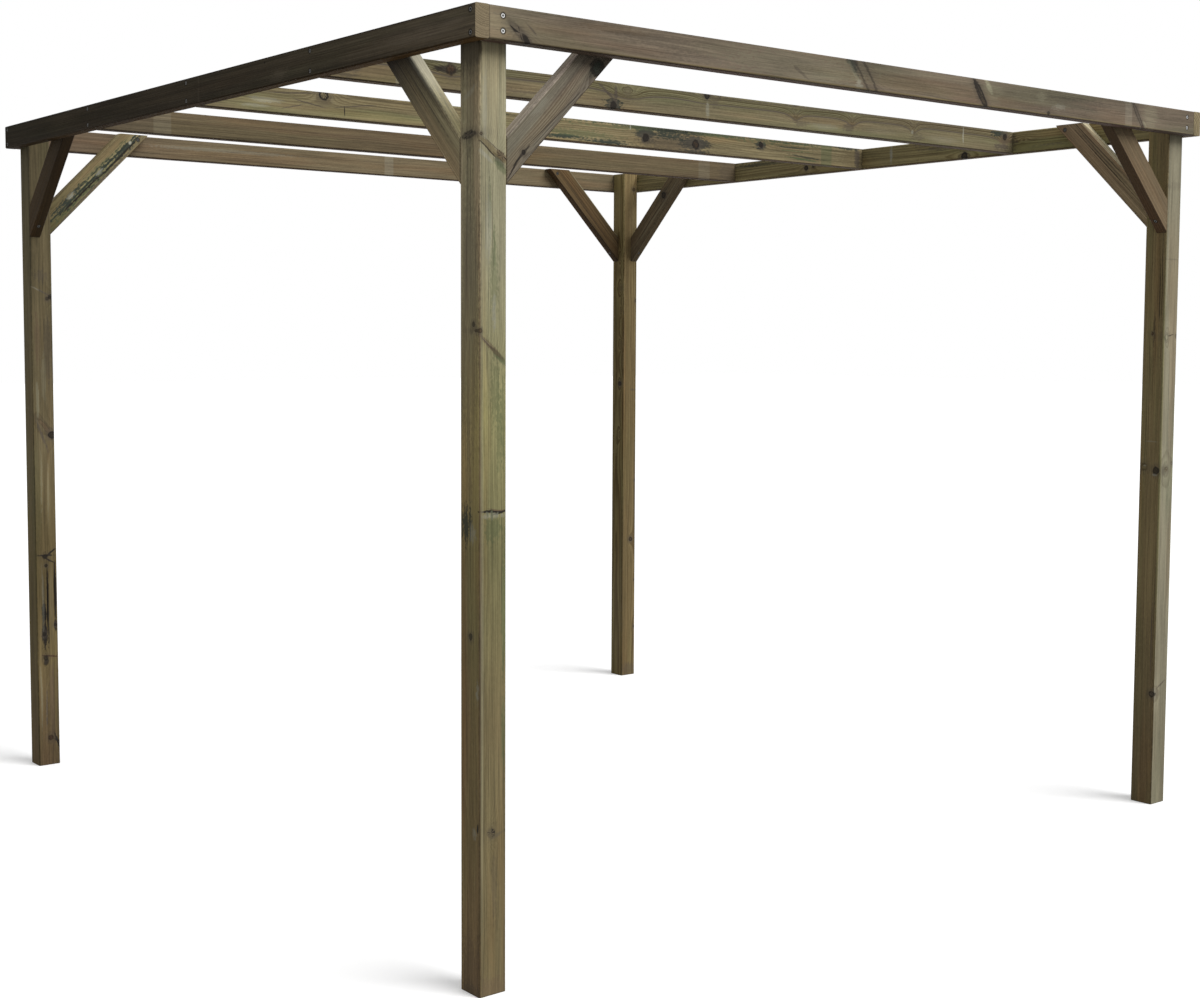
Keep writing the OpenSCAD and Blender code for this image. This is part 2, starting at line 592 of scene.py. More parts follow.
class Check(NamedTuple):
    """A drying crack that opens a face: where it starts and ends, and how wide and deep."""

    start: float
    end: float
    across: float
    face: str = "front"
    width: float = 0.0025
    depth: float = 0.014


class Grain(NamedTuple):
    """How one timber looks.

    tones are its colours along its length: share, tone and lightness, all tinted. heart is
    where the middle of the tree lay, across the timber, and tilt turns it from its length.
    zone is a darker core: how far it reaches from the heart, its share and its edge's. gloss
    is how strongly its faces mirror the light."""

    tones: tuple
    tint: tuple = (1.0, 1.0, 1.0)
    heart: tuple = (0.06, -0.09)
    tilt: float = 0.006
    ring: float = 0.0065
    gloss: float = 0.12
    contrast: float = 0.45
    green: float = 0.3
    warm: float = 0.5
    streak: float = 0.7
    cloud: float = 0.7
    hair: float = 0.5
    zone: tuple = ()
    # faces tints single faces; a lighter top face is painted light and a darker under face painted
    # shade
    faces: tuple = ()
    knots: tuple = ()
    stains: tuple = ()
    checks: tuple = ()


def one_tone(tone, *places):
    """A timber of one tone: how light it is at each share of its length."""
    return tuple((share, tone, lightness) for share, lightness in places)


# painted shade: tints that darken the under faces, which look down at the ground
PAINTED_UNDER_SHADE = ("under", (0.42, 0.33, 0.33))
HALF_PAINTED_UNDER_SHADE = ("under", (0.62, 0.54, 0.50))

# where spike knots cross rafter_1, and their lean. Two dark lines part from each
SPIKES = ((2.003, 0.006, 88), (2.311, 0.008, 92), (2.669, 0.006, 88))
SPIKE_LINES = ((0.019, 50), (-0.015, 128))

GRAINS = {
    "post_front_left": Grain(
        tones=(
            (0.0, "tan", 0.87), (0.1, "tan", 0.93), (0.28, "tan", 0.93), (0.46, "olive", 0.90),
            (0.60, "olive", 1.38), (0.76, "straw", 0.90), (0.93, "straw", 1.02),
        ),
        heart=(0.055, -0.125),
        tint=(1.0, 1.01, 0.98),
        ring=0.0048,
        contrast=0.34,
        hair=0.8,
        green=0.4,
        streak=1.0,
        cloud=1.0,
        faces=(("left", (1.32, 1.17, 1.13)),),
        knots=(
            Knot(2.309, 0.000, 0.008, lean=126, span=0.060, tone="tan", fill=0.75, rim=0.15),
            Knot(2.296, 0.030, 0.009, lean=125, span=0.022, tone="russet", fill=0.75, rim=0.0),
            Knot(2.350, -0.040, 0.004, rim=0.9),
            Knot(2.350, 0.004, 0.009, "left", lean=97, span=0.026, tone="umber"),
            Knot(1.783, -0.004, 0.007, lean=131, span=0.050, tone="russet", fill=0.6, rim=0.2),
            Knot(1.828, -0.041, 0.005),
            Knot(1.846, -0.019, 0.006, "left", tone="bark"),
            Knot(0.997, -0.004, 0.008, "left", tone="bark"),
            Knot(0.456, -0.006, 0.013, tone="umber", fill=0.55, rim=0.3, swirl=1.6),
        ),
        stains=(
            # painted shade: the top of the left face darkens under the beam
            Stain(2.440, 0.000, 0.110, 0.060, "fawn", 0.40, "left", ragged=0.6),
            Stain(2.590, 0.000, 0.150, 0.100, "fawn", 0.90, "left", ragged=0.3),
            Stain(2.590, 0.000, 0.085, 0.100, "bark", 0.60, "left", ragged=0.3),
            Stain(2.460, 0.0, 0.044, 0.010, "pale", 0.30, "left", lean=-62),
            Stain(2.318, 0.004, 0.040, 0.026, "mould", 0.30, "left", ragged=0.6),
            Stain(2.310, -0.016, 0.046, 0.0030, "bark", 1.0, lean=128, ragged=0.1),
            Stain(2.292, 0.016, 0.030, 0.0045, "bark", 0.95, lean=126, ragged=0.2),
            Stain(2.322, -0.002, 0.050, 0.0016, "umber", 0.85, lean=123, ragged=0.1),
            Stain(2.276, 0.022, 0.030, 0.010, "mould", 0.60, lean=128, ragged=0.5),
            Stain(2.264, 0.026, 0.036, 0.012, "moss", 0.55, lean=128, ragged=0.5),
            Stain(2.292, -0.024, 0.034, 0.007, "pale", 0.55, lean=127, ragged=0.2),
            Stain(2.155, -0.010, 0.080, 0.006, "moss", 0.45, ragged=0.9),
            Stain(2.060, 0.004, 0.080, 0.004, "moss", 0.50, ragged=0.9),
            Stain(1.980, 0.006, 0.140, 0.020, "moss", 0.40),
            Stain(2.100, -0.014, 0.100, 0.012, "pale", 0.40),
            Stain(2.420, -0.026, 0.120, 0.010, "pale", 0.40, ragged=0.7),
            Stain(1.880, 0.004, 0.060, 0.008, "pale", 0.50),
            Stain(1.660, 0.012, 0.110, 0.016, "moss", 0.35, ragged=1.4),
            Stain(1.560, 0.022, 0.130, 0.010, "moss", 0.35, ragged=1.4),
            Stain(1.792, -0.016, 0.044, 0.0030, "pale", 0.90, lean=132, ragged=0.2),
            Stain(1.782, -0.006, 0.050, 0.0028, "bark", 0.85, lean=133, ragged=0.1),
            Stain(1.770, 0.010, 0.034, 0.0050, "mould", 0.98, lean=131, ragged=0.3),
            Stain(1.757, 0.022, 0.034, 0.010, "moss", 0.85, lean=131, ragged=0.5),
            Stain(1.600, 0.034, 0.150, 0.008, "moss", 0.45, ragged=1.3),
            Stain(1.341, -0.008, 0.072, 0.0042, "bark", 1.0, lean=91, ragged=0.3),
            Stain(1.345, 0.010, 0.034, 0.0026, "russet", 0.80, lean=97, ragged=0.4),
            Stain(1.336, 0.020, 0.026, 0.0038, "bark", 1.0, lean=80, ragged=0.3),
            Stain(1.329, -0.002, 0.008, 0.042, "pale", 0.50, ragged=1.8),
            Stain(1.294, 0.002, 0.034, 0.034, "moss", 0.50, ragged=1.8),
            Stain(1.305, 0.020, 0.052, 0.026, "mould", 0.90, "left", ragged=1.7),
            Stain(1.850, 0.000, 0.450, 0.060, "umber", 0.44, "left", ragged=0.6),
            Stain(1.280, -0.016, 0.026, 0.018, "pale", 0.45, "left", ragged=1.4),
            Stain(0.985, -0.043, 0.026, 0.0022, "bark", 0.90, "left", ragged=0.2),
            Stain(0.845, -0.034, 0.034, 0.008, "pale", 0.50, "left", ragged=1.6),
            Stain(0.472, -0.037, 0.014, 0.005, "bark", 1.0, "left", ragged=0.3),
            Stain(0.456, -0.022, 0.018, 0.010, "pale", 0.45, "left", ragged=1.2),
            Stain(1.050, 0.034, 0.200, 0.010, "moss", 0.60, ragged=0.8),
            Stain(0.740, 0.034, 0.120, 0.008, "moss", 0.55, ragged=0.8),
            Stain(0.448, 0.016, 0.036, 0.006, "umber", 0.50, lean=70, ragged=0.8),
            Stain(0.300, 0.005, 0.100, 0.010, "umber", 0.30),
            Stain(0.400, 0.000, 0.450, 0.060, "olive", 0.12, ragged=0.6),
            Stain(0.010, 0.000, 0.050, 0.060, "russet", 0.55, ragged=0.8),
            Stain(0.050, 0.000, 0.150, 0.060, "russet", 0.60, "left", ragged=0.8),
            Stain(0.004, 0.000, 0.034, 0.060, "umber", 0.40, "left", ragged=0.8),
            Stain(1.150, -0.044, 1.150, 0.0020, "russet", 0.80, "left", ragged=0.1),
            Stain(1.150, -0.036, 1.200, 0.006, "straw", 0.40, ragged=0.2),
        ),
    ),
    "post_front_right": Grain(
        tones=one_tone("straw", (0.0, 0.70), (0.3, 0.83), (0.7, 0.84), (0.95, 0.86)),
        heart=(0.12, 0.0),
        tint=(1.0, 0.98, 1.02),
        ring=0.009,
        green=0.35,
        streak=0.9,
        faces=(("left", (0.82, 0.69, 0.49)),),
        knots=(
            Knot(1.822, -0.026, 0.010, tone="straw", fill=0.3, rim=0.6, swirl=1.6),
            Knot(1.828, 0.042, 0.007),
            Knot(1.312, -0.006, 0.010, tone="tan", fill=0.6, rim=0.45),
            Knot(1.336, 0.034, 0.007, tone="umber", fill=0.6, rim=0.5),
            Knot(1.320, 0.024, 0.012, "left", tone="tan", fill=0.4, rim=0.6),
            Knot(1.308, -0.027, 0.012, "left", tone="bark", rim=0.9),
            Knot(0.436, -0.036, 0.010, "left", tone="umber", swirl=1.8, rim=0.9, reach=0.016),
            Knot(1.836, 0.003, 0.005, "left"),
        ),
        stains=(
            Stain(1.829, 0.000, 0.026, 0.0025, "bark", 0.75, lean=80, ragged=0.2),
            Stain(1.818, -0.038, 0.010, 0.006, "moss", 0.80, ragged=0.6),
            Stain(0.470, 0.000, 0.040, 0.005, "umber", 0.75, lean=64, ragged=0.3),
            Stain(0.440, -0.040, 0.030, 0.006, "pale", 0.30, ragged=0.6),
            Stain(1.292, -0.022, 0.006, 0.014, "pale", 0.70, "left", ragged=0.3),
            Stain(1.326, 0.022, 0.004, 0.010, "pale", 0.70, "left", ragged=0.3),
            Stain(1.420, -0.005, 0.003, 0.030, "pale", 0.35, "left", ragged=0.6),
            Stain(2.050, -0.034, 0.220, 0.0022, "bark", 0.75, "left", ragged=0.5),
            Stain(1.960, -0.024, 0.160, 0.0025, "bark", 0.80, "left", ragged=0.5),
            Stain(1.860, -0.004, 0.080, 0.0040, "bark", 0.60, "left", ragged=0.8),
            Stain(0.790, -0.038, 0.330, 0.0018, "bark", 0.60, "left", ragged=0.5),
            Stain(0.640, -0.030, 0.200, 0.0025, "umber", 0.80, "left", ragged=0.4),
            Stain(1.400, -0.043, 0.950, 0.0050, "olive", 0.70, "left", ragged=0.2),
            Stain(2.120, 0.000, 0.004, 0.050, "umber", 0.30, ragged=0.4),
            Stain(2.400, 0.000, 0.020, 0.050, "umber", 0.18, ragged=0.6),
            Stain(0.300, 0.000, 0.500, 0.060, "russet", 0.30, "left", ragged=0.6),
            Stain(0.150, 0.000, 0.400, 0.060, "tan", 0.15, ragged=0.6),
        ),
    ),
    "post_back_left": Grain(
        # the last tone darkens the top of the post with painted shade under the beam
        tones=(
            (0.0, "russet", 0.86), (0.18, "tan", 0.74), (0.35, "tan", 0.68), (0.5, "fawn", 0.76),
            (0.86, "fawn", 0.70), (0.95, "fawn", 0.48),
        ),
        heart=(0.09, 0.03),
        tint=(1.03, 0.99, 0.88),
        hair=0.3,
        streak=1.3,
        cloud=1.3,
        faces=(("left", (0.95, 0.98, 0.92)),),
        knots=(
            Knot(1.968, 0.024, 0.007, tone="bark"),
            Knot(1.976, 0.040, 0.010, tone="bark"),
            Knot(1.434, 0.004, 0.008, lean=140, span=0.045, tone="russet", rim=0.5),
            Knot(1.400, 0.034, 0.013, tone="bark", rim=1.0),
            Knot(0.888, -0.006, 0.010, tone="bark", rim=0.5, fill=0.9),
            Knot(0.850, -0.002, 0.006, tone="bark", rim=0.9),
            Knot(0.560, -0.014, 0.008, tone="bark", rim=0.9),
            Knot(0.596, 0.034, 0.006, tone="bark", rim=0.9),
            Knot(0.458, -0.010, 0.010, tone="bark", rim=0.5, swirl=1.8),
            Knot(0.116, 0.006, 0.010, rim=0.6, fill=1.0, swirl=2.0),
        ),
        stains=(
            Stain(2.005, -0.016, 0.036, 0.004, "pale", 0.30, lean=115, ragged=0.3),
            Stain(1.992, 0.010, 0.040, 0.004, "umber", 0.80, lean=118, ragged=0.4),
            Stain(2.060, 0.000, 0.030, 0.030, "umber", 0.45, ragged=1.2),
            Stain(1.528, -0.027, 0.100, 0.009, "straw", 0.50, ragged=0.9),
            Stain(1.400, -0.010, 0.080, 0.007, "umber", 0.80, lean=-20, ragged=0.9),
            Stain(1.220, -0.016, 0.180, 0.006, "straw", 0.30, ragged=0.9),
            Stain(1.160, 0.012, 0.140, 0.006, "straw", 0.22, ragged=0.9),
            Stain(0.905, 0.020, 0.036, 0.005, "bark", 1.0, lean=50, ragged=0.4),
            Stain(0.893, 0.000, 0.040, 0.005, "bark", 1.0, lean=92, ragged=0.5),
            Stain(0.872, 0.012, 0.034, 0.004, "bark", 0.95, lean=120, ragged=0.4),
            Stain(0.700, 0.001, 0.190, 0.006, "bark", 1.0, ragged=0.5, depth=0.06),
            Stain(0.740, 0.034, 0.160, 0.007, "bark", 1.0, ragged=0.6, depth=0.06),
            Stain(0.655, -0.012, 0.045, 0.012, "bark", 1.0, ragged=1.6, depth=0.03),
            Stain(0.560, -0.012, 0.060, 0.016, "bark", 1.0, ragged=1.7, depth=0.03),
            Stain(0.596, 0.034, 0.028, 0.010, "bark", 1.0, ragged=0.6, depth=0.03),
            Stain(0.700, -0.020, 0.150, 0.006, "pale", 0.25, ragged=0.9),
            Stain(0.700, 0.018, 0.190, 0.009, "tan", 0.80, ragged=0.5),
            Stain(0.465, 0.010, 0.044, 0.005, "knot", 1.0, lean=98, ragged=0.5),
            Stain(0.440, -0.010, 0.016, 0.013, "bark", 0.90, ragged=0.9),
            Stain(0.095, 0.036, 0.070, 0.005, "bark", 1.0, lean=160, ragged=0.8),
            Stain(0.105, 0.026, 0.034, 0.004, "bark", 1.0, lean=118, ragged=0.7),
            Stain(1.760, 0.020, 0.160, 0.020, "umber", 0.40, ragged=0.9),
            Stain(1.800, -0.020, 0.120, 0.012, "russet", 0.60, ragged=0.9),
            Stain(1.640, 0.000, 0.120, 0.012, "straw", 0.30, ragged=0.9),
            Stain(0.310, -0.036, 0.170, 0.007, "straw", 0.35, ragged=0.7),
            Stain(0.260, 0.010, 0.200, 0.012, "russet", 0.80, ragged=0.9),
            Stain(0.240, -0.014, 0.120, 0.005, "umber", 0.80, ragged=0.9),
        ),
        checks=(
            Check(0.500, 0.885, 0.001, width=0.0060, depth=0.018),
            Check(0.590, 0.895, 0.033, width=0.0060, depth=0.018),
        ),
    ),
    "post_back_right": Grain(
        # the last tone lightens the top of the post, as painted light against the shade that the beams
        # cast there
        tones=one_tone("tan", (0.0, 1.04), (0.3, 0.96), (0.8, 1.00), (1.0, 1.45)),
        heart=(0.01, -0.055),
        tint=(1.0, 0.95, 0.86),
        ring=0.006,
        green=0.2,
        contrast=1.0,
        streak=0.9,
        faces=(("left", (0.96, 1.02, 0.93)),),
        knots=(
            Knot(2.080, -0.020, 0.009, "left", fill=0.3, rim=0.4, swirl=2.2),
            Knot(1.960, -0.024, 0.006, "left", fill=0.3, rim=0.2, swirl=2.0),
            Knot(2.240, -0.016, 0.007, "left", fill=0.1, rim=0.1, swirl=2.2),
            Knot(1.780, -0.020, 0.007, "left", fill=0.1, rim=0.1, swirl=2.2),
            Knot(1.300, -0.018, 0.007, "left", fill=0.1, rim=0.1, swirl=2.0),
            Knot(1.572, -0.018, 0.010, "left", rim=1.0),
            Knot(0.736, 0.012, 0.010, rim=1.0),
            Knot(2.012, 0.042, 0.007),
            Knot(1.052, 0.042, 0.006),
            Knot(0.516, 0.042, 0.006),
            Knot(0.260, 0.042, 0.007),
            Knot(2.600, 0.020, 0.008),
        ),
        stains=(
            Stain(1.540, 0.020, 0.007, 0.026, "umber", 0.50, ragged=0.5),
            Stain(1.000, 0.036, 0.900, 0.004, "umber", 0.55, ragged=0.4),
            Stain(0.030, 0.000, 0.040, 0.060, "umber", 0.45, ragged=0.8),
            Stain(0.350, 0.000, 0.400, 0.060, "sawn", 0.22, "left", ragged=0.8),
        ),
    ),
    "beam_left": Grain(
        # its dark tones are partly its own darker wood and partly painted shade, standing in for the
        # dim surroundings its outer face looks to
        tones=one_tone("umber", (0.0, 0.90), (0.2, 0.50), (0.5, 0.34), (1.0, 0.25)),
        heart=(-0.04, 0.11),
        tint=(1.54, 1.54, 1.38),
        warm=0.2,
        streak=1.2,
        cloud=1.3,
        gloss=0.03,
        # painted shade: the under face is darkened
        faces=(("under", (0.72, 0.52, 0.30)),),
        stains=(
            Stain(1.700, -0.042, 2.200, 0.026, "bark", 0.28, "left", ragged=0.2),
            Stain(1.700, 0.043, 1.700, 0.003, "bark", 0.80, "left", straight=True),
            Stain(1.600, 0.000, 0.006, 0.050, "grey", 0.12, "left", straight=True),
            Stain(1.140, 0.030, 0.006, 0.005, "bark", 0.90, "left", ragged=0.4),
            Stain(0.250, 0.000, 0.220, 0.030, "grey", 0.30, "left"),
            Stain(0.100, 0.010, 0.060, 0.010, "grey", 0.35, "left"),
            Stain(1.050, -0.020, 0.060, 0.020, "grey", 0.22, "left", ragged=1.4),
        ),
    ),
    "beam_right": Grain(
        # its light tones are partly its own pale wood and partly painted light, for the sky that its
        # inner face sees
        tones=one_tone("fawn", (0.0, 1.62), (0.35, 1.42), (0.7, 1.38), (1.0, 1.54)),
        heart=(0.055, -0.035),
        tint=(1.0, 1.0, 0.80),
        ring=0.009,
        contrast=0.8,
        green=0.5,
        streak=1.2,
        cloud=1.2,
        faces=(PAINTED_UNDER_SHADE,),
        knots=(
            Knot(1.089, -0.035, 0.014, "left", tone="bark", fill=0.9, rim=1.0),
            Knot(2.025, -0.014, 0.010, "left", tone="bark", rim=1.0),
            Knot(1.980, -0.008, 0.007, "left", tone="bark"),
            Knot(0.780, 0.010, 0.009, "left", fill=0.1, rim=0.1),
        ),
        stains=(
            Stain(0.860, 0.000, 0.050, 0.060, "umber", 0.60, "left"),
            Stain(0.930, 0.020, 0.050, 0.030, "mould", 0.90, "left", ragged=1.5),
            Stain(0.960, -0.010, 0.060, 0.020, "moss", 0.80, "left", ragged=1.4),
            Stain(1.501, 0.000, 0.010, 0.050, "pale", 0.70, "left"),
            Stain(1.730, 0.000, 0.040, 0.050, "umber", 0.75, "left", ragged=0.8),
            Stain(1.760, 0.030, 0.050, 0.010, "mould", 0.75, "left", ragged=1.4),
            Stain(2.560, 0.000, 0.040, 0.050, "umber", 0.75, "left", ragged=0.8),
            Stain(2.300, 0.030, 0.260, 0.010, "mould", 0.60, "left", ragged=1.3),
            Stain(1.180, 0.010, 0.200, 0.012, "umber", 0.55, "left"),
            Stain(1.240, 0.030, 0.200, 0.008, "umber", 0.55, "left"),
            Stain(0.640, -0.020, 0.120, 0.006, "umber", 0.50, "left"),
        ),
    ),
    "beam_front": Grain(
        tones=one_tone("grey", (0.0, 1.02), (0.1, 0.94), (0.75, 0.86), (1.0, 0.79)),
        heart=(0.05, -0.075),
        tint=(1.0, 0.975, 0.95),
        ring=0.009,
        contrast=0.22,
        green=0.5,
        streak=0.8,
        cloud=1.2,
        faces=(PAINTED_UNDER_SHADE,),
        knots=(
            Knot(0.100, -0.019, 0.011, lean=-38, span=0.050, tone="umber", fill=0.70, rim=0.45),
            Knot(0.122, -0.037, 0.007, lean=-50, span=0.018, tone="bark", fill=1.0),
            Knot(1.456, 0.000, 0.018, lean=-53, span=0.110, tone="umber", fill=0.40, rim=0.75),
            Knot(2.022, -0.006, 0.011, lean=-52, span=0.052, tone="bark", fill=0.70, rim=0.95),
            Knot(2.934, -0.002, 0.007, lean=-52, span=0.080, tone="umber", fill=0.85),
            Knot(2.962, -0.040, 0.006),
            Knot(2.396, -0.037, 0.006, tone="bark"),
        ),
        stains=(
            Stain(0.015, 0.000, 0.060, 0.070, "sawn", 0.40, ragged=1.4),
            Stain(0.140, -0.006, 0.030, 0.004, "umber", 0.70, lean=-40, ragged=0.3),
            Stain(1.160, 0.000, 0.330, 0.060, "straw", 0.28, ragged=1.4),
            Stain(1.165, -0.018, 0.040, 0.006, "umber", 0.55, lean=-28, ragged=0.6),
            Stain(1.390, 0.034, 0.050, 0.018, "mould", 0.95, lean=-48, ragged=0.8),
            Stain(1.405, 0.000, 0.060, 0.008, "straw", 0.35, lean=-50, ragged=0.8),
            Stain(1.425, -0.030, 0.018, 0.018, "pale", 0.45),
            Stain(1.998, 0.026, 0.026, 0.010, "umber", 0.95, lean=-52, ragged=0.7),
            Stain(2.010, 0.006, 0.050, 0.003, "bark", 0.95, lean=-52, ragged=0.3),
            Stain(2.036, -0.004, 0.050, 0.003, "bark", 0.95, lean=-52, ragged=0.3),
            Stain(2.040, -0.028, 0.022, 0.007, "russet", 0.90, lean=-52, ragged=0.5),
            Stain(2.060, 0.030, 0.044, 0.012, "straw", 0.80, lean=-52, ragged=0.6),
            Stain(2.090, 0.000, 0.060, 0.060, "straw", 0.22, ragged=1.2),
            Stain(2.355, 0.015, 0.030, 0.020, "straw", 0.30, ragged=1.4),
            Stain(2.460, -0.010, 0.050, 0.012, "pale", 0.32, ragged=1.4),
            Stain(2.874, 0.000, 0.022, 0.060, "pale", 0.16, straight=True),
            Stain(2.915, 0.000, 0.020, 0.060, "umber", 0.30, straight=True),
            Stain(2.955, -0.024, 0.028, 0.0026, "bark", 0.95, lean=-56, ragged=0.3),
            Stain(2.975, -0.030, 0.020, 0.008, "straw", 0.50, lean=-50, ragged=0.6),
            Stain(3.010, 0.000, 0.050, 0.060, "straw", 0.26, ragged=1.2),
            Stain(1.700, -0.010, 0.160, 0.024, "russet", 0.20),
            Stain(0.600, 0.010, 0.200, 0.020, "umber", 0.35),
            Stain(0.750, -0.020, 0.150, 0.012, "umber", 0.40),
            Stain(0.420, 0.025, 0.150, 0.010, "russet", 0.40),
            Stain(2.560, 0.010, 0.200, 0.020, "umber", 0.30),
            # painted highlight: a warm tan line where the lower eased edge catches the light
            Stain(1.650, -0.0405, 2.000, 0.0034, "tan", 0.85, ragged=0.15),
        ),
    ),
    "beam_back": Grain(
        tones=((0.0, "russet", 0.98), (0.25, "tan", 0.92), (0.6, "tan", 1.02), (1.0, "tan", 0.92)),
        heart=(0.03, -0.10),
        tint=(1.01, 1.01, 1.15),
        ring=0.0055,
        green=0.1,
        streak=1.2,
        faces=(PAINTED_UNDER_SHADE,),
        stains=(
            Stain(1.805, 0.0, 0.025, 0.060, "pale", 0.22, straight=True),
            Stain(0.900, 0.010, 0.400, 0.010, "pale", 0.25, ragged=1.2),
            Stain(1.100, -0.020, 0.500, 0.008, "russet", 0.45, ragged=1.2),
        ),
    ),
    "rafter_1": Grain(
        tones=one_tone("fawn", (0.0, 0.96), (0.4, 1.09), (0.7, 1.05), (1.0, 1.02)),
        heart=(0.0, 0.14),
        tint=(1.0, 1.0, 0.96),
        tilt=0.0,
        ring=0.007,
        contrast=1.5,
        green=0.5,
        streak=1.0,
        zone=(0.129, 0.06, 1.0),
        faces=(PAINTED_UNDER_SHADE,),
        knots=(
            Knot(0.449, 0.021, 0.016, fill=0.9, rim=0.7),
            Knot(1.119, -0.034, 0.012, tone="bark", fill=1.0, rim=1.0),
            Knot(1.181, 0.020, 0.015, tone="grey", fill=0.3, rim=0.25, swirl=2.4),
            Knot(1.553, 0.038, 0.010, tone="bark", swirl=1.8, rim=1.0),
            *(
                Knot(along, across, 0.010, lean=lean, span=0.034, fill=0.15, rim=0.0, swirl=1.8)
                for along, across, lean in SPIKES
            ),
            Knot(3.245, 0.020, 0.012, tone="bark", fill=0.9, rim=0.9, swirl=1.8),
        ),
        stains=(
            Stain(0.060, 0.000, 0.070, 0.060, "umber", 0.50, ragged=0.8),
            Stain(0.430, 0.020, 0.054, 0.013, "bark", 0.95, ragged=0.5),
            Stain(0.452, 0.040, 0.080, 0.0018, "bark", 0.60, ragged=0.4),
            Stain(1.120, -0.030, 0.045, 0.018, "mould", 1.0, ragged=1.3),
            Stain(1.090, 0.010, 0.060, 0.005, "umber", 0.85, lean=-35, ragged=0.7),
            Stain(1.130, 0.010, 0.008, 0.036, "umber", 0.75, ragged=0.8),
            Stain(1.556, -0.010, 0.010, 0.036, "pale", 0.45, ragged=0.8),
            Stain(1.590, 0.020, 0.030, 0.020, "umber", 0.45, ragged=1.4),
            *(
                Stain(along + off, across + 0.018, 0.026, 0.0020, "umber", 0.60, lean=lean, ragged=0.3)
                for along, across, _ in SPIKES
                for off, lean in SPIKE_LINES
            ),
            Stain(2.030, -0.022, 0.050, 0.016, "umber", 0.50),
            Stain(2.290, -0.018, 0.034, 0.020, "umber", 0.55),
            Stain(2.690, -0.022, 0.050, 0.014, "umber", 0.45),
            Stain(2.662, -0.004, 0.008, 0.010, "pale", 0.60, ragged=0.8),
            Stain(2.160, -0.022, 0.100, 0.014, "pale", 0.20, ragged=0.8),
            Stain(2.480, -0.022, 0.120, 0.014, "pale", 0.06, ragged=0.8),
            Stain(2.850, -0.022, 0.120, 0.014, "pale", 0.14, ragged=0.8),
            Stain(2.975, 0.004, 0.005, 0.040, "pale", 0.65, ragged=0.9),
            Stain(3.215, 0.030, 0.070, 0.016, "mould", 1.0, ragged=1.4),
            Stain(3.250, 0.006, 0.050, 0.034, "russet", 0.70, ragged=1.2),
            Stain(3.225, -0.020, 0.060, 0.014, "umber", 0.80, ragged=1.2),
            Stain(2.400, 0.041, 1.000, 0.005, "umber", 0.60, ragged=0.9),
            Stain(0.250, -0.010, 0.006, 0.050, "pale", 0.25, straight=True),
            Stain(0.700, -0.020, 0.300, 0.008, "umber", 0.40),
        ),
    ),
    "rafter_2": Grain(
        tones=one_tone("fawn", (0.0, 1.12), (0.3, 1.28), (0.45, 1.32), (0.6, 1.16), (1.0, 1.18)),
        heart=(0.04, -0.07),
        tint=(1.0, 0.99, 0.90),
        ring=0.009,
        contrast=0.75,
        green=0.6,
        streak=1.1,
        cloud=1.1,
        faces=(PAINTED_UNDER_SHADE,),
        knots=(
            Knot(0.476, 0.034, 0.016, tone="fawn", fill=0.6, rim=1.0, swirl=1.6),
            Knot(1.988, -0.002, 0.014, tone="bark", fill=1.0, rim=1.0),
            Knot(2.266, -0.010, 0.017, fill=0.9, rim=1.0, swirl=1.4),
            Knot(2.650, 0.016, 0.011, tone="bark", fill=1.0, rim=1.0),
        ),
        stains=(
            Stain(0.560, -0.016, 0.022, 0.0026, "bark", 1.0, lean=90, ragged=0.2),
            Stain(0.240, -0.004, 0.080, 0.012, "pale", 0.40, ragged=0.8),
            Stain(0.200, -0.024, 0.060, 0.008, "pale", 0.35, ragged=0.8),
            Stain(0.420, 0.000, 0.080, 0.0028, "umber", 0.85, lean=-10, ragged=0.4),
            Stain(0.350, -0.016, 0.060, 0.0025, "umber", 0.80, lean=14, ragged=0.4),
            Stain(0.370, 0.030, 0.160, 0.003, "umber", 0.70, lean=4, ragged=0.5),
            Stain(0.620, 0.010, 0.120, 0.003, "umber", 0.70, lean=6, ragged=0.5),
            Stain(1.560, -0.028, 0.170, 0.013, "mould", 1.0, ragged=0.8),
            Stain(1.780, -0.034, 0.190, 0.013, "mould", 1.0, ragged=0.8),
            Stain(1.640, -0.012, 0.200, 0.022, "moss", 0.50, ragged=1.3),
            Stain(1.990, 0.020, 0.066, 0.036, "mould", 1.0),
            Stain(2.262, 0.000, 0.084, 0.048, "mould", 1.0, ragged=1.2),
            Stain(2.645, 0.014, 0.036, 0.016, "mould", 1.0, ragged=1.4),
            Stain(2.250, 0.040, 0.900, 0.010, "mould", 0.85, ragged=1.5),
            Stain(2.200, 0.034, 0.850, 0.014, "moss", 0.55, ragged=1.5),
            Stain(2.140, 0.000, 0.210, 0.060, "umber", 0.55, ragged=0.8),
            Stain(2.130, 0.022, 0.150, 0.020, "mould", 0.95, ragged=1.3),
            Stain(3.061, 0.000, 0.034, 0.060, "moss", 0.50, straight=True),
            Stain(2.900, -0.016, 0.130, 0.005, "mould", 0.80, lean=-4, ragged=0.8),
            Stain(2.930, -0.030, 0.120, 0.005, "moss", 0.90, lean=-3, ragged=0.8),
            Stain(2.850, 0.018, 0.130, 0.004, "mould", 0.75),
            Stain(2.860, 0.006, 0.110, 0.003, "moss", 0.80),
            Stain(3.240, 0.000, 0.090, 0.060, "tan", 0.75, ragged=1.2),
            Stain(3.265, 0.000, 0.020, 0.060, "umber", 0.80, ragged=0.8),
            Stain(3.200, 0.038, 0.080, 0.006, "mould", 0.90, ragged=1.2),
            Stain(1.905, 0.034, 0.004, 0.014, "pale", 0.80, ragged=0.6),
        ),
    ),
    "rafter_3": Grain(
        tones=one_tone("tan", (0.0, 0.78), (0.4, 0.66), (0.7, 0.78), (1.0, 0.76)),
        heart=(0.05, -0.10),
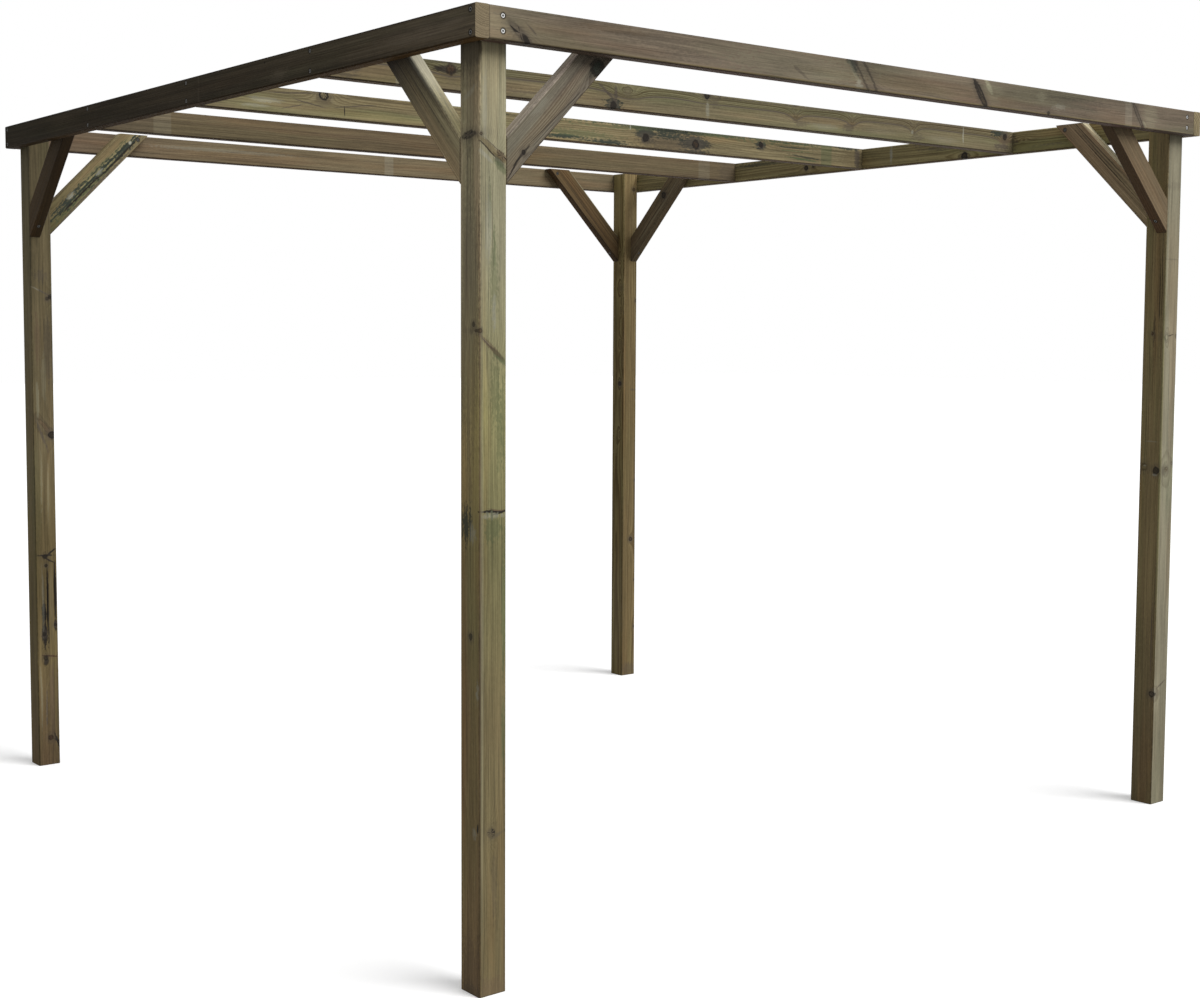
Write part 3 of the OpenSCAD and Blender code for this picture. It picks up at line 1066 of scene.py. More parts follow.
        tint=(1.0, 0.96, 1.06),
        ring=0.006,
        green=0.25,
        streak=1.1,
        faces=(PAINTED_UNDER_SHADE,),
        stains=(
            Stain(0.247, 0.0, 0.037, 0.060, "pale", 0.13, straight=True),
            Stain(3.090, 0.0, 0.037, 0.060, "pale", 0.12, straight=True),
            Stain(3.240, 0.0, 0.060, 0.060, "umber", 0.35),
            Stain(0.105, 0.0, 0.105, 0.060, "umber", 0.35, straight=True),
            Stain(0.900, 0.010, 0.600, 0.012, "russet", 0.40),
        ),
    ),
    "brace_front_left_x": Grain(
        tones=one_tone("grey", (0.0, 1.02), (0.5, 0.98), (1.0, 0.84)),
        heart=(0.03, -0.075),
        tint=(1.04, 1.10, 1.14),
        ring=0.005,
        contrast=0.8,
        # painted light on the top face, painted shade on the under face
        faces=(("top", (2.4, 2.3, 2.55)), HALF_PAINTED_UNDER_SHADE),
        knots=(
            Knot(0.462, -0.026, 0.021, tone="mould", fill=0.85, rim=0.9),
            Knot(0.103, -0.021, 0.006, tone="bark", swirl=1.8, rim=1.0),
        ),
        stains=(
            Stain(0.458, -0.022, 0.034, 0.024, "mould", 0.90, ragged=0.6),
            Stain(0.095, -0.022, 0.045, 0.004, "bark", 0.95, lean=2, ragged=0.4),
            Stain(0.050, -0.028, 0.050, 0.003, "bark", 0.90, lean=12, ragged=0.4),
            Stain(0.250, -0.024, 0.170, 0.0022, "bark", 0.60, lean=-3, ragged=0.3),
            Stain(0.290, -0.034, 0.170, 0.0020, "bark", 0.60, lean=-2, ragged=0.3),
            Stain(0.200, -0.040, 0.120, 0.0020, "bark", 0.55, lean=-2, ragged=0.3),
            Stain(0.220, -0.030, 0.140, 0.0060, "pale", 0.12, lean=-2, ragged=0.5),
            Stain(0.230, 0.030, 0.050, 0.009, "pale", 0.25),
            Stain(0.330, 0.010, 0.120, 0.010, "umber", 0.35),
        ),
    ),
    "brace_front_left_y": Grain(
        tones=((0.0, "fawn", 2.05), (0.4, "fawn", 1.40), (0.75, "umber", 0.44), (1.0, "umber", 0.18)),
        heart=(0.03, 0.10),
        contrast=0.6,
        streak=1.1,
        green=0.2,
        # painted light on the top face, painted shade on the under face
        faces=(("top", (2.9, 3.0, 3.1)), HALF_PAINTED_UNDER_SHADE),
        stains=(
            # painted light: the pale top face, lightened where the post and beams shade it
            Stain(0.500, 0.000, 0.320, 0.060, "pale", 0.60, "top", ragged=0.4),
            Stain(0.430, 0.038, 0.330, 0.022, "bark", 0.45, "left", ragged=0.5),
            Stain(0.300, 0.010, 0.240, 0.003, "bark", 0.60, "left", ragged=0.5),
            Stain(0.420, -0.010, 0.180, 0.003, "bark", 0.50, "left", ragged=0.5),
        ),
    ),
    "brace_front_right_x": Grain(
        tones=one_tone("tan", (0.0, 0.97), (1.0, 0.84)),
        heart=(0.07, 0.02),
        tint=(0.99, 0.94, 1.06),
        green=0.0,
        faces=(HALF_PAINTED_UNDER_SHADE,),
    ),
    "brace_front_right_y": Grain(
        tones=one_tone("fawn", (0.0, 1.90), (0.5, 1.50), (1.0, 1.32)),
        heart=(0.03, -0.085),
        tint=(1.12, 0.99, 1.0),
        contrast=0.7,
        streak=1.1,
        # painted light on the top face, painted shade on the under face
        faces=(("top", (1.35, 1.75, 2.0)), HALF_PAINTED_UNDER_SHADE),
        stains=(
            Stain(0.380, 0.004, 0.230, 0.0035, "bark", 0.75, "left", ragged=0.5),
            Stain(0.400, 0.014, 0.200, 0.003, "umber", 0.75, "left", ragged=0.5),
            Stain(0.440, 0.024, 0.200, 0.003, "bark", 0.60, "left", ragged=0.5),
            Stain(0.030, -0.010, 0.040, 0.020, "umber", 0.70, "left"),
        ),
    ),
    "brace_back_left_x": Grain(
        tones=((0.0, "tan", 0.62), (0.5, "fawn", 1.20), (1.0, "fawn", 1.22)),
        tint=(1.02, 1.0, 0.88),
        heart=(0.03, -0.08),
        green=0.4,
        contrast=0.6,
        streak=1.3,
        faces=(HALF_PAINTED_UNDER_SHADE,),
        stains=(
            Stain(0.320, -0.010, 0.330, 0.028, "moss", 0.70, ragged=1.4),
            Stain(0.520, -0.014, 0.130, 0.018, "mould", 1.0, ragged=1.6),
            Stain(0.360, -0.008, 0.150, 0.018, "mould", 1.0, ragged=1.7),
            Stain(0.190, -0.002, 0.150, 0.022, "mould", 1.0, ragged=1.6),
            Stain(0.240, -0.018, 0.170, 0.006, "bark", 1.0, ragged=0.8),
            Stain(0.470, -0.024, 0.140, 0.005, "bark", 0.95, ragged=0.8),
            Stain(0.205, 0.006, 0.026, 0.012, "pale", 0.60, ragged=1.2),
            Stain(0.370, -0.006, 0.022, 0.012, "pale", 0.55, ragged=1.2),
            Stain(0.565, -0.010, 0.010, 0.008, "pale", 0.95, ragged=0.9),
            Stain(0.330, -0.038, 0.300, 0.006, "umber", 0.85, ragged=0.7),
        ),
    ),
    "brace_back_left_y": Grain(
        tones=one_tone("russet", (0.0, 0.34), (1.0, 0.185)),
        heart=(0.02, 0.09),
        tint=(1.0, 0.92, 0.68),
        green=0.0,
        faces=(("left", (0.88, 0.82, 0.58)),),
        streak=1.2,
        contrast=0.8,
    ),
    "brace_back_right_x": Grain(
        tones=one_tone("russet", (0.0, 0.52), (0.5, 0.72), (1.0, 0.86)),
        heart=(0.06, 0.03),
        tint=(0.99, 0.96, 0.76),
        green=0.0,
        contrast=0.8,
        streak=1.2,
        faces=(HALF_PAINTED_UNDER_SHADE,),
        stains=(
            Stain(0.330, 0.040, 0.330, 0.0030, "straw", 0.70, ragged=0.3),
            Stain(0.330, -0.020, 0.280, 0.0030, "bark", 0.60, ragged=0.5),
        ),
    ),
    "brace_back_right_y": Grain(
        tones=one_tone("umber", (0.0, 1.25), (0.5, 1.50), (1.0, 1.45)),
        heart=(0.02, -0.08),
        tint=(1.06, 1.0, 0.78),
        green=0.2,
        contrast=0.7,
        streak=1.2,
        knots=(Knot(0.420, 0.004, 0.014, "left", tone="bark", rim=1.0),),
        stains=(
            Stain(0.300, -0.010, 0.260, 0.003, "bark", 0.70, "left", ragged=0.5),
            Stain(0.360, 0.012, 0.240, 0.003, "bark", 0.60, "left", ragged=0.5),
            Stain(0.340, -0.020, 0.260, 0.004, "straw", 0.35, "left", ragged=0.6),
        ),
    ),
}


# ---------------------------------------------------------------------------
# Timbers: looks
# ---------------------------------------------------------------------------

class Layer(NamedTuple):
    """Noise through the wood: waves a metre along and across it, start, detail, roughness."""

    waves: tuple
    start: float = 0.0
    detail: float = 2.0
    roughness: float = 0.5


ROUGH = Layer((70, 160, 160), 2.2, 2.0, 0.6)
UNEVEN = Layer((34, 44, 44), 6.1, 3.0, 0.55)
DRIFT = Layer((1.1, 8, 8))
YEARLY = Layer((1, 1, 1), 0.0, 2.0, 0.6)
CLOUD = Layer((2.2, 11, 11), 5.3, 3.0, 0.55)
FIBRE = Layer((7, 420, 420), 7.7, 2.0, 0.6)
STREAK = Layer((1.6, 90, 90), 1.9, 4.0, 0.6)
HAIR = Layer((2.2, 240, 240), 3.4, 1.0, 0.5)
PATCH = Layer((1.3, 15, 15), 9.2)
PORES = Layer((420, 420, 420), 0.0, 2.0, 0.7)

# metres over which noise moves a mark's edge, the grain and a ring
UNEVEN_BY = (0.007, 0.007, 0.007)
DRIFT_BY = (0.0, 0.022, 0.022)
RING_RAGGED = 0.0012
# the heart of the tree runs on past both ends
FAR = 1000.0
# waves of good and lean years in a metre of rings
YEAR_WAVES = (38.0, 0.0, 0.0)
# the soft edge of a darker core, and the width of the line round it
ZONE_EDGE = 0.004
ZONE_LINE = 0.0028

# what each kind of wood does to its colour
LATE_WOOD = (0.50, 0.44, 0.39)
EARLY_WOOD = 1.12
GREENED = (0.80, 1.0, 0.86)
WARMED = (1.04, 0.86, 0.76)

# the bend in the grain reaches furthest along the timber past a round knot, and across a spike
ROUND_BEND = (0.42, 1.0, 1.0)
SPIKE_BEND = (1.0, 0.42, 1.0)
BEND_FALL = -0.9
BEND_PULL = (0.8, 0.8, 0.8)
BEND_LIFT = 2.0
# a knot's ragged edge and its stained surround, in radii
KNOT_RAGGED = 0.7
KNOT_HALO = 3.0
# big dark knots have star cracks
CRACKED_RADIUS = 0.008
CRACKED_FILL = 0.5
SPOKE_WAVES = (4.0, 4.0, 4.0)
SPOKE_SEED = 9.0

# a stain longer than this follows the grain, unless it is less ragged than a clean edge
LONG_STAIN = 0.09
CLEAN_EDGE = 0.3
STAIN_RAGGED = 3.0

# dirt along the arrises: its share, and the depths where it starts and is full
ARRIS_DIRT = 0.45
ARRIS_RAGGED = 0.006
ARRIS_REACH = (0.004, 0.0015)
# how far in from a sawn end its pores show, and its dark band of dirt and painted shade where timbers
# meet
PORE_REACH = (0.0012, 0.0004)
SAW_DIRT_AND_SHADE = 0.6
SAW_DIRT_AND_SHADE_REACH = (0.0035, 0.001)
# the dark ring round a screw head: its radius in head diameters, its width and its share
HEAD_RING = 0.6
HEAD_RING_W = 0.0026
HEAD_RING_SHARE = 0.9


def palette(colours, tone, lightness=1.0, tint=(1.0, 1.0, 1.0)):
    """One of the settings' colours as plain numbers."""
    return tuple(lightness * value * part for value, part in zip(getattr(colours, tone), tint))


def face_frame(timber, face, along, across, lean):
    """A frame on a face: X leans from the timber's length, Y lies across it and Z points out."""
    lean = math.radians(lean)
    out = timber.outward(face)
    side = timber.sideways(face)
    lengthways = Vector((math.cos(lean), 0, 0)) + side * math.sin(lean)
    turn = Matrix((lengthways, out.cross(lengthways), out)).transposed()
    return Matrix.Translation(timber.spot(face, along, across)) @ turn.to_4x4()


class Pine:
    """A timber's wood as it grew: rings round the heart of the tree, cut through by its faces.

    It is made as clean wood, and wood_material then has its marks painted over it."""

    def __init__(self, timber, grain, colours, seed):
        self.timber = timber
        self.grain = grain
        self.colours = colours
        self.seed = seed
        self.material = bpy.data.materials.new("wood_" + timber.node)
        self.graph = Graph(self.material)
        self.world = self.graph.add("ShaderNodeTexCoord", None, None, "Object")
        self.place = self.graph.seen_from(timber.matrix, self.world)
        self.rough = self.noise(ROUGH)
        self.uneven = self.moved(UNEVEN, UNEVEN_BY)
        self.drifted = self.moved(DRIFT, DRIFT_BY)
        self.grow_rings(self.bend_round_knots())
        self.fibre = self.noise(FIBRE, self.drifted)
        self.streak = self.noise(STREAK, self.drifted)
        self.hairs = self.noise(HAIR, self.drifted).smooth(0.61, 0.70)
        self.cracks = None
        self.colour_wood()

    def noise(self, layer, place=None, out="Fac"):
        """A layer of noise over the timber, or over another place."""
        return self.graph.noise(
            self.place if place is None else place,
            layer.waves, self.seed + layer.start, layer.detail, layer.roughness, out,
        )

    def moved(self, layer, by):
        """The place in the timber, moved to and fro by a layer of noise."""
        return self.place + (self.noise(layer, out="Color") - 0.5) * by

    def paint(self, share, colour):
        """Lays a share of a colour over what is there."""
        self.colour = self.graph.mix(share, self.colour, colour)

    def bend_round_knots(self):
        """Leads the grain round each knot, and returns how far each lifts the rings."""
        self.knots = []
        lifts = []
        for knot in self.grain.knots:
            matrix = face_frame(self.timber, knot.face, knot.along, knot.across, knot.lean or 0.0)
            middle = matrix.translation
            is_round = knot.lean is None
            length = knot.radius if is_round else knot.span
            near = self.graph.seen_from(matrix, self.uneven, (length, knot.radius, knot.reach))
            away = near.length() + (self.rough - 0.5) * KNOT_RAGGED
            self.knots.append((knot, middle, away))
            bend = ((near * (ROUND_BEND if is_round else SPIKE_BEND)).length() * BEND_FALL).exp()
            lifts.append(bend * (BEND_LIFT * knot.radius * knot.swirl))
            if is_round:
                self.drifted = self.drifted - (self.place - middle) * (bend * BEND_PULL)
        return lifts

    def grow_rings(self, lifts):
        """The year's rings, dark in late wood, and the darker core if the timber has one."""
        grain = self.grain
        heart = Matrix.Translation((0, *grain.heart)) @ Matrix.Rotation(grain.tilt, 4, "Y")
        depth = self.graph.seen_from(heart, self.drifted, (FAR, 1.0, 1.0)).length()
        if lifts:
            depth = depth - sum(lifts[1:], lifts[0])
        self.depth = depth + (self.rough - 0.5) * RING_RAGGED
        yearly = self.noise(YEARLY, self.depth * YEAR_WAVES)
        turn = (self.depth / grain.ring + yearly * 4.0).part()
        self.late = turn.smooth(0.1, 0.9) * turn.smooth(1.0, 0.92)
        self.cloud = self.noise(CLOUD)
        patchy = (yearly * 3.0 - 0.6).clamp()
        self.weight = self.late * patchy * (self.cloud * 1.8 - 0.1) * grain.contrast
        if grain.zone:
            self.inner = self.depth.smooth(grain.zone[0], grain.zone[0] - ZONE_EDGE)
            self.weight = self.weight * (self.inner * 0.75 + 0.25)

    def colour_wood(self):
        """Tones along the length, shaded by fibres and streaks, with patches and hair cracks."""
        grain, colours = self.grain, self.colours
        stops = [
            (share, palette(colours, tone, lightness, grain.tint))
            for share, tone, lightness in grain.tones
        ]
        along = (self.place.parts()[0] - self.timber.start) / self.timber.size.x
        self.tone = self.graph.add(
            "ShaderNodeValToRGB", {"stops": stops}, {"Fac": along}, "Color"
        )
        shade = (self.fibre - 0.5) * 0.9 + (self.streak - 0.5) * (1.15 * grain.streak)
        shade = shade + (self.rough - 0.5) * 0.35 + (self.cloud - 0.5) * grain.cloud
        self.shade = shade + 1.0
        rings = self.graph.mix(self.weight, self.tone * EARLY_WOOD, self.tone * LATE_WOOD)
        self.colour = rings * self.shade
        green, warm = self.noise(PATCH, out="Color").parts()[:2]
        self.paint(green.smooth(0.45, 0.66) * grain.green, self.colour * GREENED)
        self.paint(warm.smooth(0.48, 0.68) * grain.warm, self.colour * WARMED)
        self.paint(self.hairs * self.cloud * grain.hair, colours.bark)
        if grain.zone:
            zone_at, zone_share, line_share = grain.zone
            self.paint(self.inner * zone_share, self.colour * LATE_WOOD)
            self.paint((self.depth - zone_at).bell(ZONE_LINE) * line_share, colours.umber)

    def tint_faces(self, ease):
        """Tints single faces, fading out over their eased edges; lighter tops are painted light,
        darker undersides painted shade.
        """
        for face, tint in self.grain.faces:
            out = self.timber.outward(face)
            edge = self.timber.half(out)
            on_face = self.place.dot(out).smooth(edge - ease, edge - 0.3 * ease)
            self.paint(on_face, self.colour * tint)

    def dirty_arrises(self):
        """Handling dirt in the long edges."""
        y, z = (abs(part) for part in self.place.parts()[1:])
        to_arris = (self.timber.size.y / 2 - y).most(self.timber.size.z / 2 - z)
        ragged = to_arris + (self.rough - 0.5) * ARRIS_RAGGED
        self.paint(ragged.smooth(*ARRIS_REACH) * ARRIS_DIRT, self.colours.bark)

    def paint_stains(self):
        """Mould, moss, dirt, bleached wood and the prints of other boards."""
        ragged = self.streak * 0.6 + self.rough * 0.5 - 0.55
        for stain in self.grain.stains:
            if stain.straight or (stain.half_l > LONG_STAIN and stain.ragged < CLEAN_EDGE):
                place = self.place
            elif stain.half_l > LONG_STAIN:
                place = self.drifted
            else:
                place = self.uneven
            matrix = face_frame(self.timber, stain.face, stain.along, stain.across, stain.lean)
            half = (stain.half_l, stain.half_w, stain.depth)
            near = self.graph.seen_from(matrix, place, half)
            if stain.straight:
                x, y, z = map(abs, near.parts())
                here = x.most(y).most(z).smooth(1.05, 0.95)
            else:
                here = (near.length() + ragged * (STAIN_RAGGED * stain.ragged)).smooth(1.1, 0.5)
            self.paint(here * stain.share, self.shade * palette(self.colours, stain.tone))

    def paint_knots(self):
        """Each knot, its bark and the stained wood round it, and star cracks in the big ones."""
        colours = self.colours
        stars = []
        for knot, middle, away in self.knots:
            wood = palette(colours, knot.tone)
            edge = tuple(part + (bark - part) * knot.rim for part, bark in zip(wood, colours.bark))
            stops = [
                (0.0, (*wood, knot.fill)),
                (0.20, (*wood, knot.fill)),
                (0.28, (*edge, max(knot.fill, knot.rim))),
                (0.37, (*edge, knot.rim)),
                (0.46, (*colours.umber, 0.5 * knot.rim)),
                (1.0, (*colours.umber, 0.0)),
            ]
            shade = self.shade * (1.0 - self.weight * 0.5)
            ramp = self.graph.add(
                "ShaderNodeValToRGB", {"stops": stops}, {"Fac": away / KNOT_HALO}, "Color"
            )
            self.paint(ramp.other("Alpha"), ramp * shade)
            if knot.radius > CRACKED_RADIUS and knot.fill > CRACKED_FILL:
                heading = (self.place - middle).unit()
                seed = SPOKE_SEED * knot.along
                spokes = self.graph.noise(heading, SPOKE_WAVES, seed, 0.0)
                stars.append(spokes.smooth(0.58, 0.63) * away.smooth(1.1, 0.8))
        if stars:
            self.cracks = reduce(Wire.most, stars)
            self.paint(self.cracks, colours.bark)

    def saw_ends(self):
        """Open pores on the sawn ends, and a dark band along their arris: end dirt, and painted shade
        where the end meets another timber.
        """
        to_end = reduce(
            Wire.least, [reach - self.place.dot(out) for out, reach in self.timber.cuts]
        )
        end_grain = to_end.smooth(*PORE_REACH)
        pores = self.noise(PORES)
        sawn = self.graph.mix(0.35, self.colours.sawn, self.tone)
        sawn = sawn * (pores * 0.9 - self.weight * 0.8 + 0.55)
        # the dark band along a sawn arris is partly end dirt and partly painted shade of the joint
        end_dirt_and_shade = to_end.smooth(*SAW_DIRT_AND_SHADE_REACH) * (1.0 - end_grain) * SAW_DIRT_AND_SHADE
        self.paint(end_grain, sawn)
        self.paint(end_dirt_and_shade, self.colours.bark)

    def ring_heads(self, heads, head_d):
        """A dark ring round the screw heads."""
        if heads:
            to_head = reduce(Wire.least, [self.world.gap_to(head) for head in heads])
            ring = (to_head - HEAD_RING * head_d).bell(HEAD_RING_W)
            self.paint(ring * HEAD_RING_SHARE, self.colours.bark)

    def finish(self):
        """Joins the colour and the relief to the surface, and returns the material."""
        relief = (self.fibre - 0.5) * 0.7 - self.late * 0.5 - self.hairs * 0.8
        if self.cracks is not None:
            relief = relief - self.cracks
        self.graph.surface(
            {
                "Base Color": self.colour,
                "Roughness": (self.fibre - 0.5) * 0.25 + self.weight * 0.1 + 0.78,
                "Specular IOR Level": self.grain.gloss,
            },
            {"Strength": 0.4, "Distance": 0.0008, "Height": relief},
        )
        return self.material


def wood_material(timber, grain, heads, sizes, colours, ease, seed):
    """All of a timber's wood, from its grain out to its marks."""
    pine = Pine(timber, grain, colours, seed)
    pine.tint_faces(ease)
    pine.dirty_arrises()
    pine.paint_stains()
    pine.paint_knots()
    pine.saw_ends()
    pine.ring_heads(heads, sizes.head_d)
    return pine.finish()


# ---------------------------------------------------------------------------
# Timbers: shapes
# ---------------------------------------------------------------------------

# a face this square to a cut is a sawn end, and one this square to its timber is flat
SQUARE = 0.99
FLAT = 0.999
# points this near to a saw cut lie in it
SAW_SLACK = 0.000001
# a screw hole's cutter: its sides, and how far it stands out of the wood
HOLE_SIDES = 24
HOLE_OVER = 0.001
# a crack's cutter: its step, how far it stands out, and how it waves along the crack
CHECK_STEP = 0.02
CHECK_OVER = 0.002
CHECK_WAVE = 0.0012
CHECK_WAVES = 9.0
CHECK_SHIFT = 30.0
# a crack's share of its width at its two ends and at its bottom
CHECK_TIP = 0.05
CHECK_ROOT = 0.15
# where each timber's own noise starts
FIRST_SEED = 1.37
SEED_STEP = 11.3


def own_object(name, build, material):
    """A new object at the origin, whose mesh is made by build(bm)."""
    mesh = bpy.data.meshes.new(name)
    bm = bmesh.new()
    build(bm)
    bm.to_mesh(mesh)
    bm.free()
    mesh.materials.append(material)
    made = bpy.data.objects.new(name, mesh)
    bpy.context.scene.collection.objects.link(made)
    return made


def gather(builders, bm):
    """Builds each closed shape by itself, turns its faces outward and joins it to bm."""
    for build in builders:
        one = bmesh.new()
        build(one)
        bmesh.ops.recalc_face_normals(one, faces=one.faces)
        spare = bpy.data.meshes.new("part")
        one.to_mesh(spare)
        one.free()
        bm.from_mesh(spare)
        bpy.data.meshes.remove(spare)


def new_verts(made):
    """The corner points in what a bmesh operator returns."""
    return [g for g in made if isinstance(g, bmesh.types.BMVert)]


def new_edges(made):
    """The edges in what a bmesh operator returns."""
    return [g for g in made if isinstance(g, bmesh.types.BMEdge)]


def grow(bm, edges, drop, scale=1.0):
    """Extrudes a loop of edges down by drop with its radius scaled, and returns the new loop."""
    made = bmesh.ops.extrude_edge_only(bm, edges=edges)["geom"]
    bmesh.ops.scale(bm, vec=(scale, scale, 1.0), verts=new_verts(made))
    bmesh.ops.translate(bm, vec=(0, 0, -drop), verts=new_verts(made))
    return new_edges(made)


def shape_board(timber, ease, sizes, bm):
    """A planed board with eased long edges and sawn ends, in its own frame."""
    spare = 2 * timber.size.z if timber.slanted else 0.0
    bmesh.ops.create_cube(bm, size=1.0)
    bmesh.ops.scale(bm, vec=(timber.size.x + spare, timber.size.y, timber.size.z), verts=bm.verts)
    long_edges = [e for e in bm.edges if e.calc_length() > timber.size.x - SLACK]
    bmesh.ops.bevel(
        bm, geom=long_edges, offset=ease, offset_type="OFFSET", segments=sizes.ease_steps,
        profile=0.5, affect="EDGES", material=-1,
    )
    if timber.slanted:
        for out, reach in timber.cuts:
            cut = bmesh.ops.bisect_plane(
                bm, geom=bm.verts[:] + bm.edges[:] + bm.faces[:], dist=SAW_SLACK,
                plane_co=out * reach, plane_no=out, clear_outer=True,
            )
            bmesh.ops.contextual_create(bm, geom=new_edges(cut["geom_cut"]))
    bm.normal_update()
    ends = [
        face for face in bm.faces
        if any(abs(face.normal.dot(out)) > SQUARE for out, _ in timber.cuts)
    ]
    sawn = [edge for edge in bm.edges if any(face in ends for face in edge.link_faces)]
    bmesh.ops.bevel(
        bm, geom=sawn, offset=sizes.saw_ease, offset_type="OFFSET", segments=1,
        profile=0.5, affect="EDGES", material=-1,
    )
    bmesh.ops.recalc_face_normals(bm, faces=bm.faces)


def place_on(head, out):
    """The matrix that turns +Z to a direction out of the wood, at a screw head's place."""
    return Matrix.Translation(head) @ out.to_track_quat("Z", "Y").to_matrix().to_4x4()


def shape_hole(timber, screw, sizes, bm):
    """What a countersunk screw takes out of a timber, in the timber's own frame."""
    hole_r = sizes.shank_d / 2 + sizes.hole_gap
    taper = (sizes.head_d - sizes.shank_d) / 2 + sizes.head_sink
    top_r = hole_r + taper + HOLE_OVER
    circle = bmesh.ops.create_circle(bm, segments=HOLE_SIDES, radius=top_r, cap_ends=True)
    bmesh.ops.translate(bm, vec=(0, 0, HOLE_OVER), verts=circle["verts"])
    neck = grow(bm, bm.edges[:], taper + HOLE_OVER, hole_r / top_r)
    bottom = grow(bm, neck, screw.length - taper)
    bmesh.ops.contextual_create(bm, geom=bottom)
    bmesh.ops.transform(
        bm, matrix=timber.matrix.inverted() @ place_on(screw.head, screw.out), verts=bm.verts
    )


def shape_check(timber, check, bm):
    """What a drying crack takes out of a timber: a thin wavy wedge that tapers to its ends."""
    run = check.end - check.start
    bmesh.ops.create_cube(bm, size=1.0)
    lengthways = [e for e in bm.edges if abs(e.verts[0].co.x - e.verts[1].co.x) > 0.5]
    cuts = round(run / CHECK_STEP)
    bmesh.ops.subdivide_edges(bm, edges=lengthways, cuts=cuts, use_grid_fill=True)
    side = timber.sideways(check.face)
    out = timber.outward(check.face)
    middle = timber.spot(check.face, check.start + run / 2, check.across)
    for vert in bm.verts:
        share = vert.co.x + 0.5
        swell = max(math.sin(math.pi * share), CHECK_TIP)
        wave = CHECK_WAVE * math.sin(CHECK_WAVES * share + CHECK_SHIFT * check.start) * swell
        outer = vert.co.z > 0
        width = check.width * swell * (1.0 if outer else CHECK_ROOT)
        height = CHECK_OVER if outer else -check.depth * swell
        vert.co = middle + Vector((vert.co.x * run, 0, 0)) + side * (vert.co.y * width + wave)
        vert.co += out * height
    bmesh.ops.triangulate(bm, faces=bm.faces)


def flat_and_round(mesh):
    """Flat faces stay flat, and the eased edges shade smoothly."""
    for face in mesh.polygons:
        face.use_smooth = max(map(abs, face.normal)) < FLAT


def cut_away(board, cutter):
    """Takes the cutter out of the board, and removes the cutter."""
    modifier = board.modifiers.new("holes", "BOOLEAN")
    modifier.operation = "DIFFERENCE"
    modifier.solver = "EXACT"
    modifier.object = cutter
    bpy.context.view_layer.update()
    shaped = bpy.data.meshes.new_from_object(
        board.evaluated_get(bpy.context.evaluated_depsgraph_get())
    )
    board.modifiers.clear()
    whole, board.data = board.data, shaped
    bpy.data.meshes.remove(whole)
    cutter_mesh = cutter.data
    bpy.data.objects.remove(cutter)
    bpy.data.meshes.remove(cutter_mesh)
    shaped.name = board.name


def enters(screw, timber):
    """True if a screw's line passes through the timber."""
    steps = 12
    return any(
        timber.holds(screw.head - screw.out * (screw.length * step / steps))
        for step in range(steps + 1)
    )


def build_timber(timber, ease, all_driven):
    """Makes one timber, with the holes of the screws that enter it, attaches it to the root body and
    hides its CAD part.
    """
    scene = bpy.context.scene
    sizes, colours = scene.arbor_sizes, scene.arbor_colours
    if timber.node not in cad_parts:
        raise RuntimeError(f"the frame has no timber named {timber.node}")
    grain = GRAINS[timber.node]
    screws = [screw for screw in all_driven if enters(screw, timber)]
    heads = [screw.head for screw in screws if timber.holds(screw.head)]
    seed = FIRST_SEED + SEED_STEP * TIMBERS.index(timber.node)
    material = wood_material(timber, grain, heads, sizes, colours, ease, seed)
    board = own_object(
        timber.node + "_wood", partial(shape_board, timber, ease, sizes), material
    )
    holes = [partial(shape_hole, timber, screw, sizes) for screw in screws]
    checks = [partial(shape_check, timber, check) for check in grain.checks]
    if holes or checks:
        cut_away(board, own_object("cutter", partial(gather, holes + checks), material))
    flat_and_round(board.data)
    board.data.transform(timber.matrix)
    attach(board, "root")
    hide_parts(timber.node)


def build_timbers(timbers, ease):
    """Makes all the timbers of one kind."""
    rows = all_screws(bpy.context.scene.arbor_sizes).values()
    all_driven = [screw for row in rows for screw in row]
    for timber in timbers:
        build_timber(timber, ease, all_driven)


# ---------------------------------------------------------------------------
# Screws: looks and shapes
# ---------------------------------------------------------------------------

BLOTCH = Layer((420, 420, 420), 2.0, 3.0, 0.6)
FINE = Layer((2400, 2400, 2400), 5.0, 2.0, 0.6)
# how much of its colour zinc keeps under its bloom
BLOOM = 0.72
# painted shade in the star recess of a screw head
RECESS_PAINTED_SHADE = (0.02, 0.02, 0.02)
SCREW_SIDES = 36
LOBES = 6
LOBE_DEPTH = 0.16
# what is left of a recess's width at its bottom, and of a shank's at its point
RECESS_TAPER = 0.9
POINT_TAPER = 0.12
# edges sharper than this, in degrees, shade as edges
SHARP = 35


def zinc_material(name, zinc):
    """Plated steel with a cloudy bloom, and painted shade in its recess."""
    material = bpy.data.materials.new(name)
    graph = Graph(material)
    place = graph.add("ShaderNodeTexCoord", None, None, "Object")
    blotch = graph.noise(place, *BLOTCH)
    fine = graph.noise(place, *FINE)
    bloom = tuple(BLOOM * part for part in zinc)
    colour = graph.mix(blotch.smooth(0.35, 0.7), zinc, bloom)
    sunk = graph.add("ShaderNodeAttribute", {"attribute_name": "sunk"}, None, "Fac")
    graph.surface(
        {
            "Base Color": graph.mix(sunk, colour, RECESS_PAINTED_SHADE),
            "Metallic": 0.85,
            "Roughness": 0.36 + blotch * 0.2,
        },
        {"Strength": 0.2, "Distance": 0.0001, "Height": fine},
    )
    return material


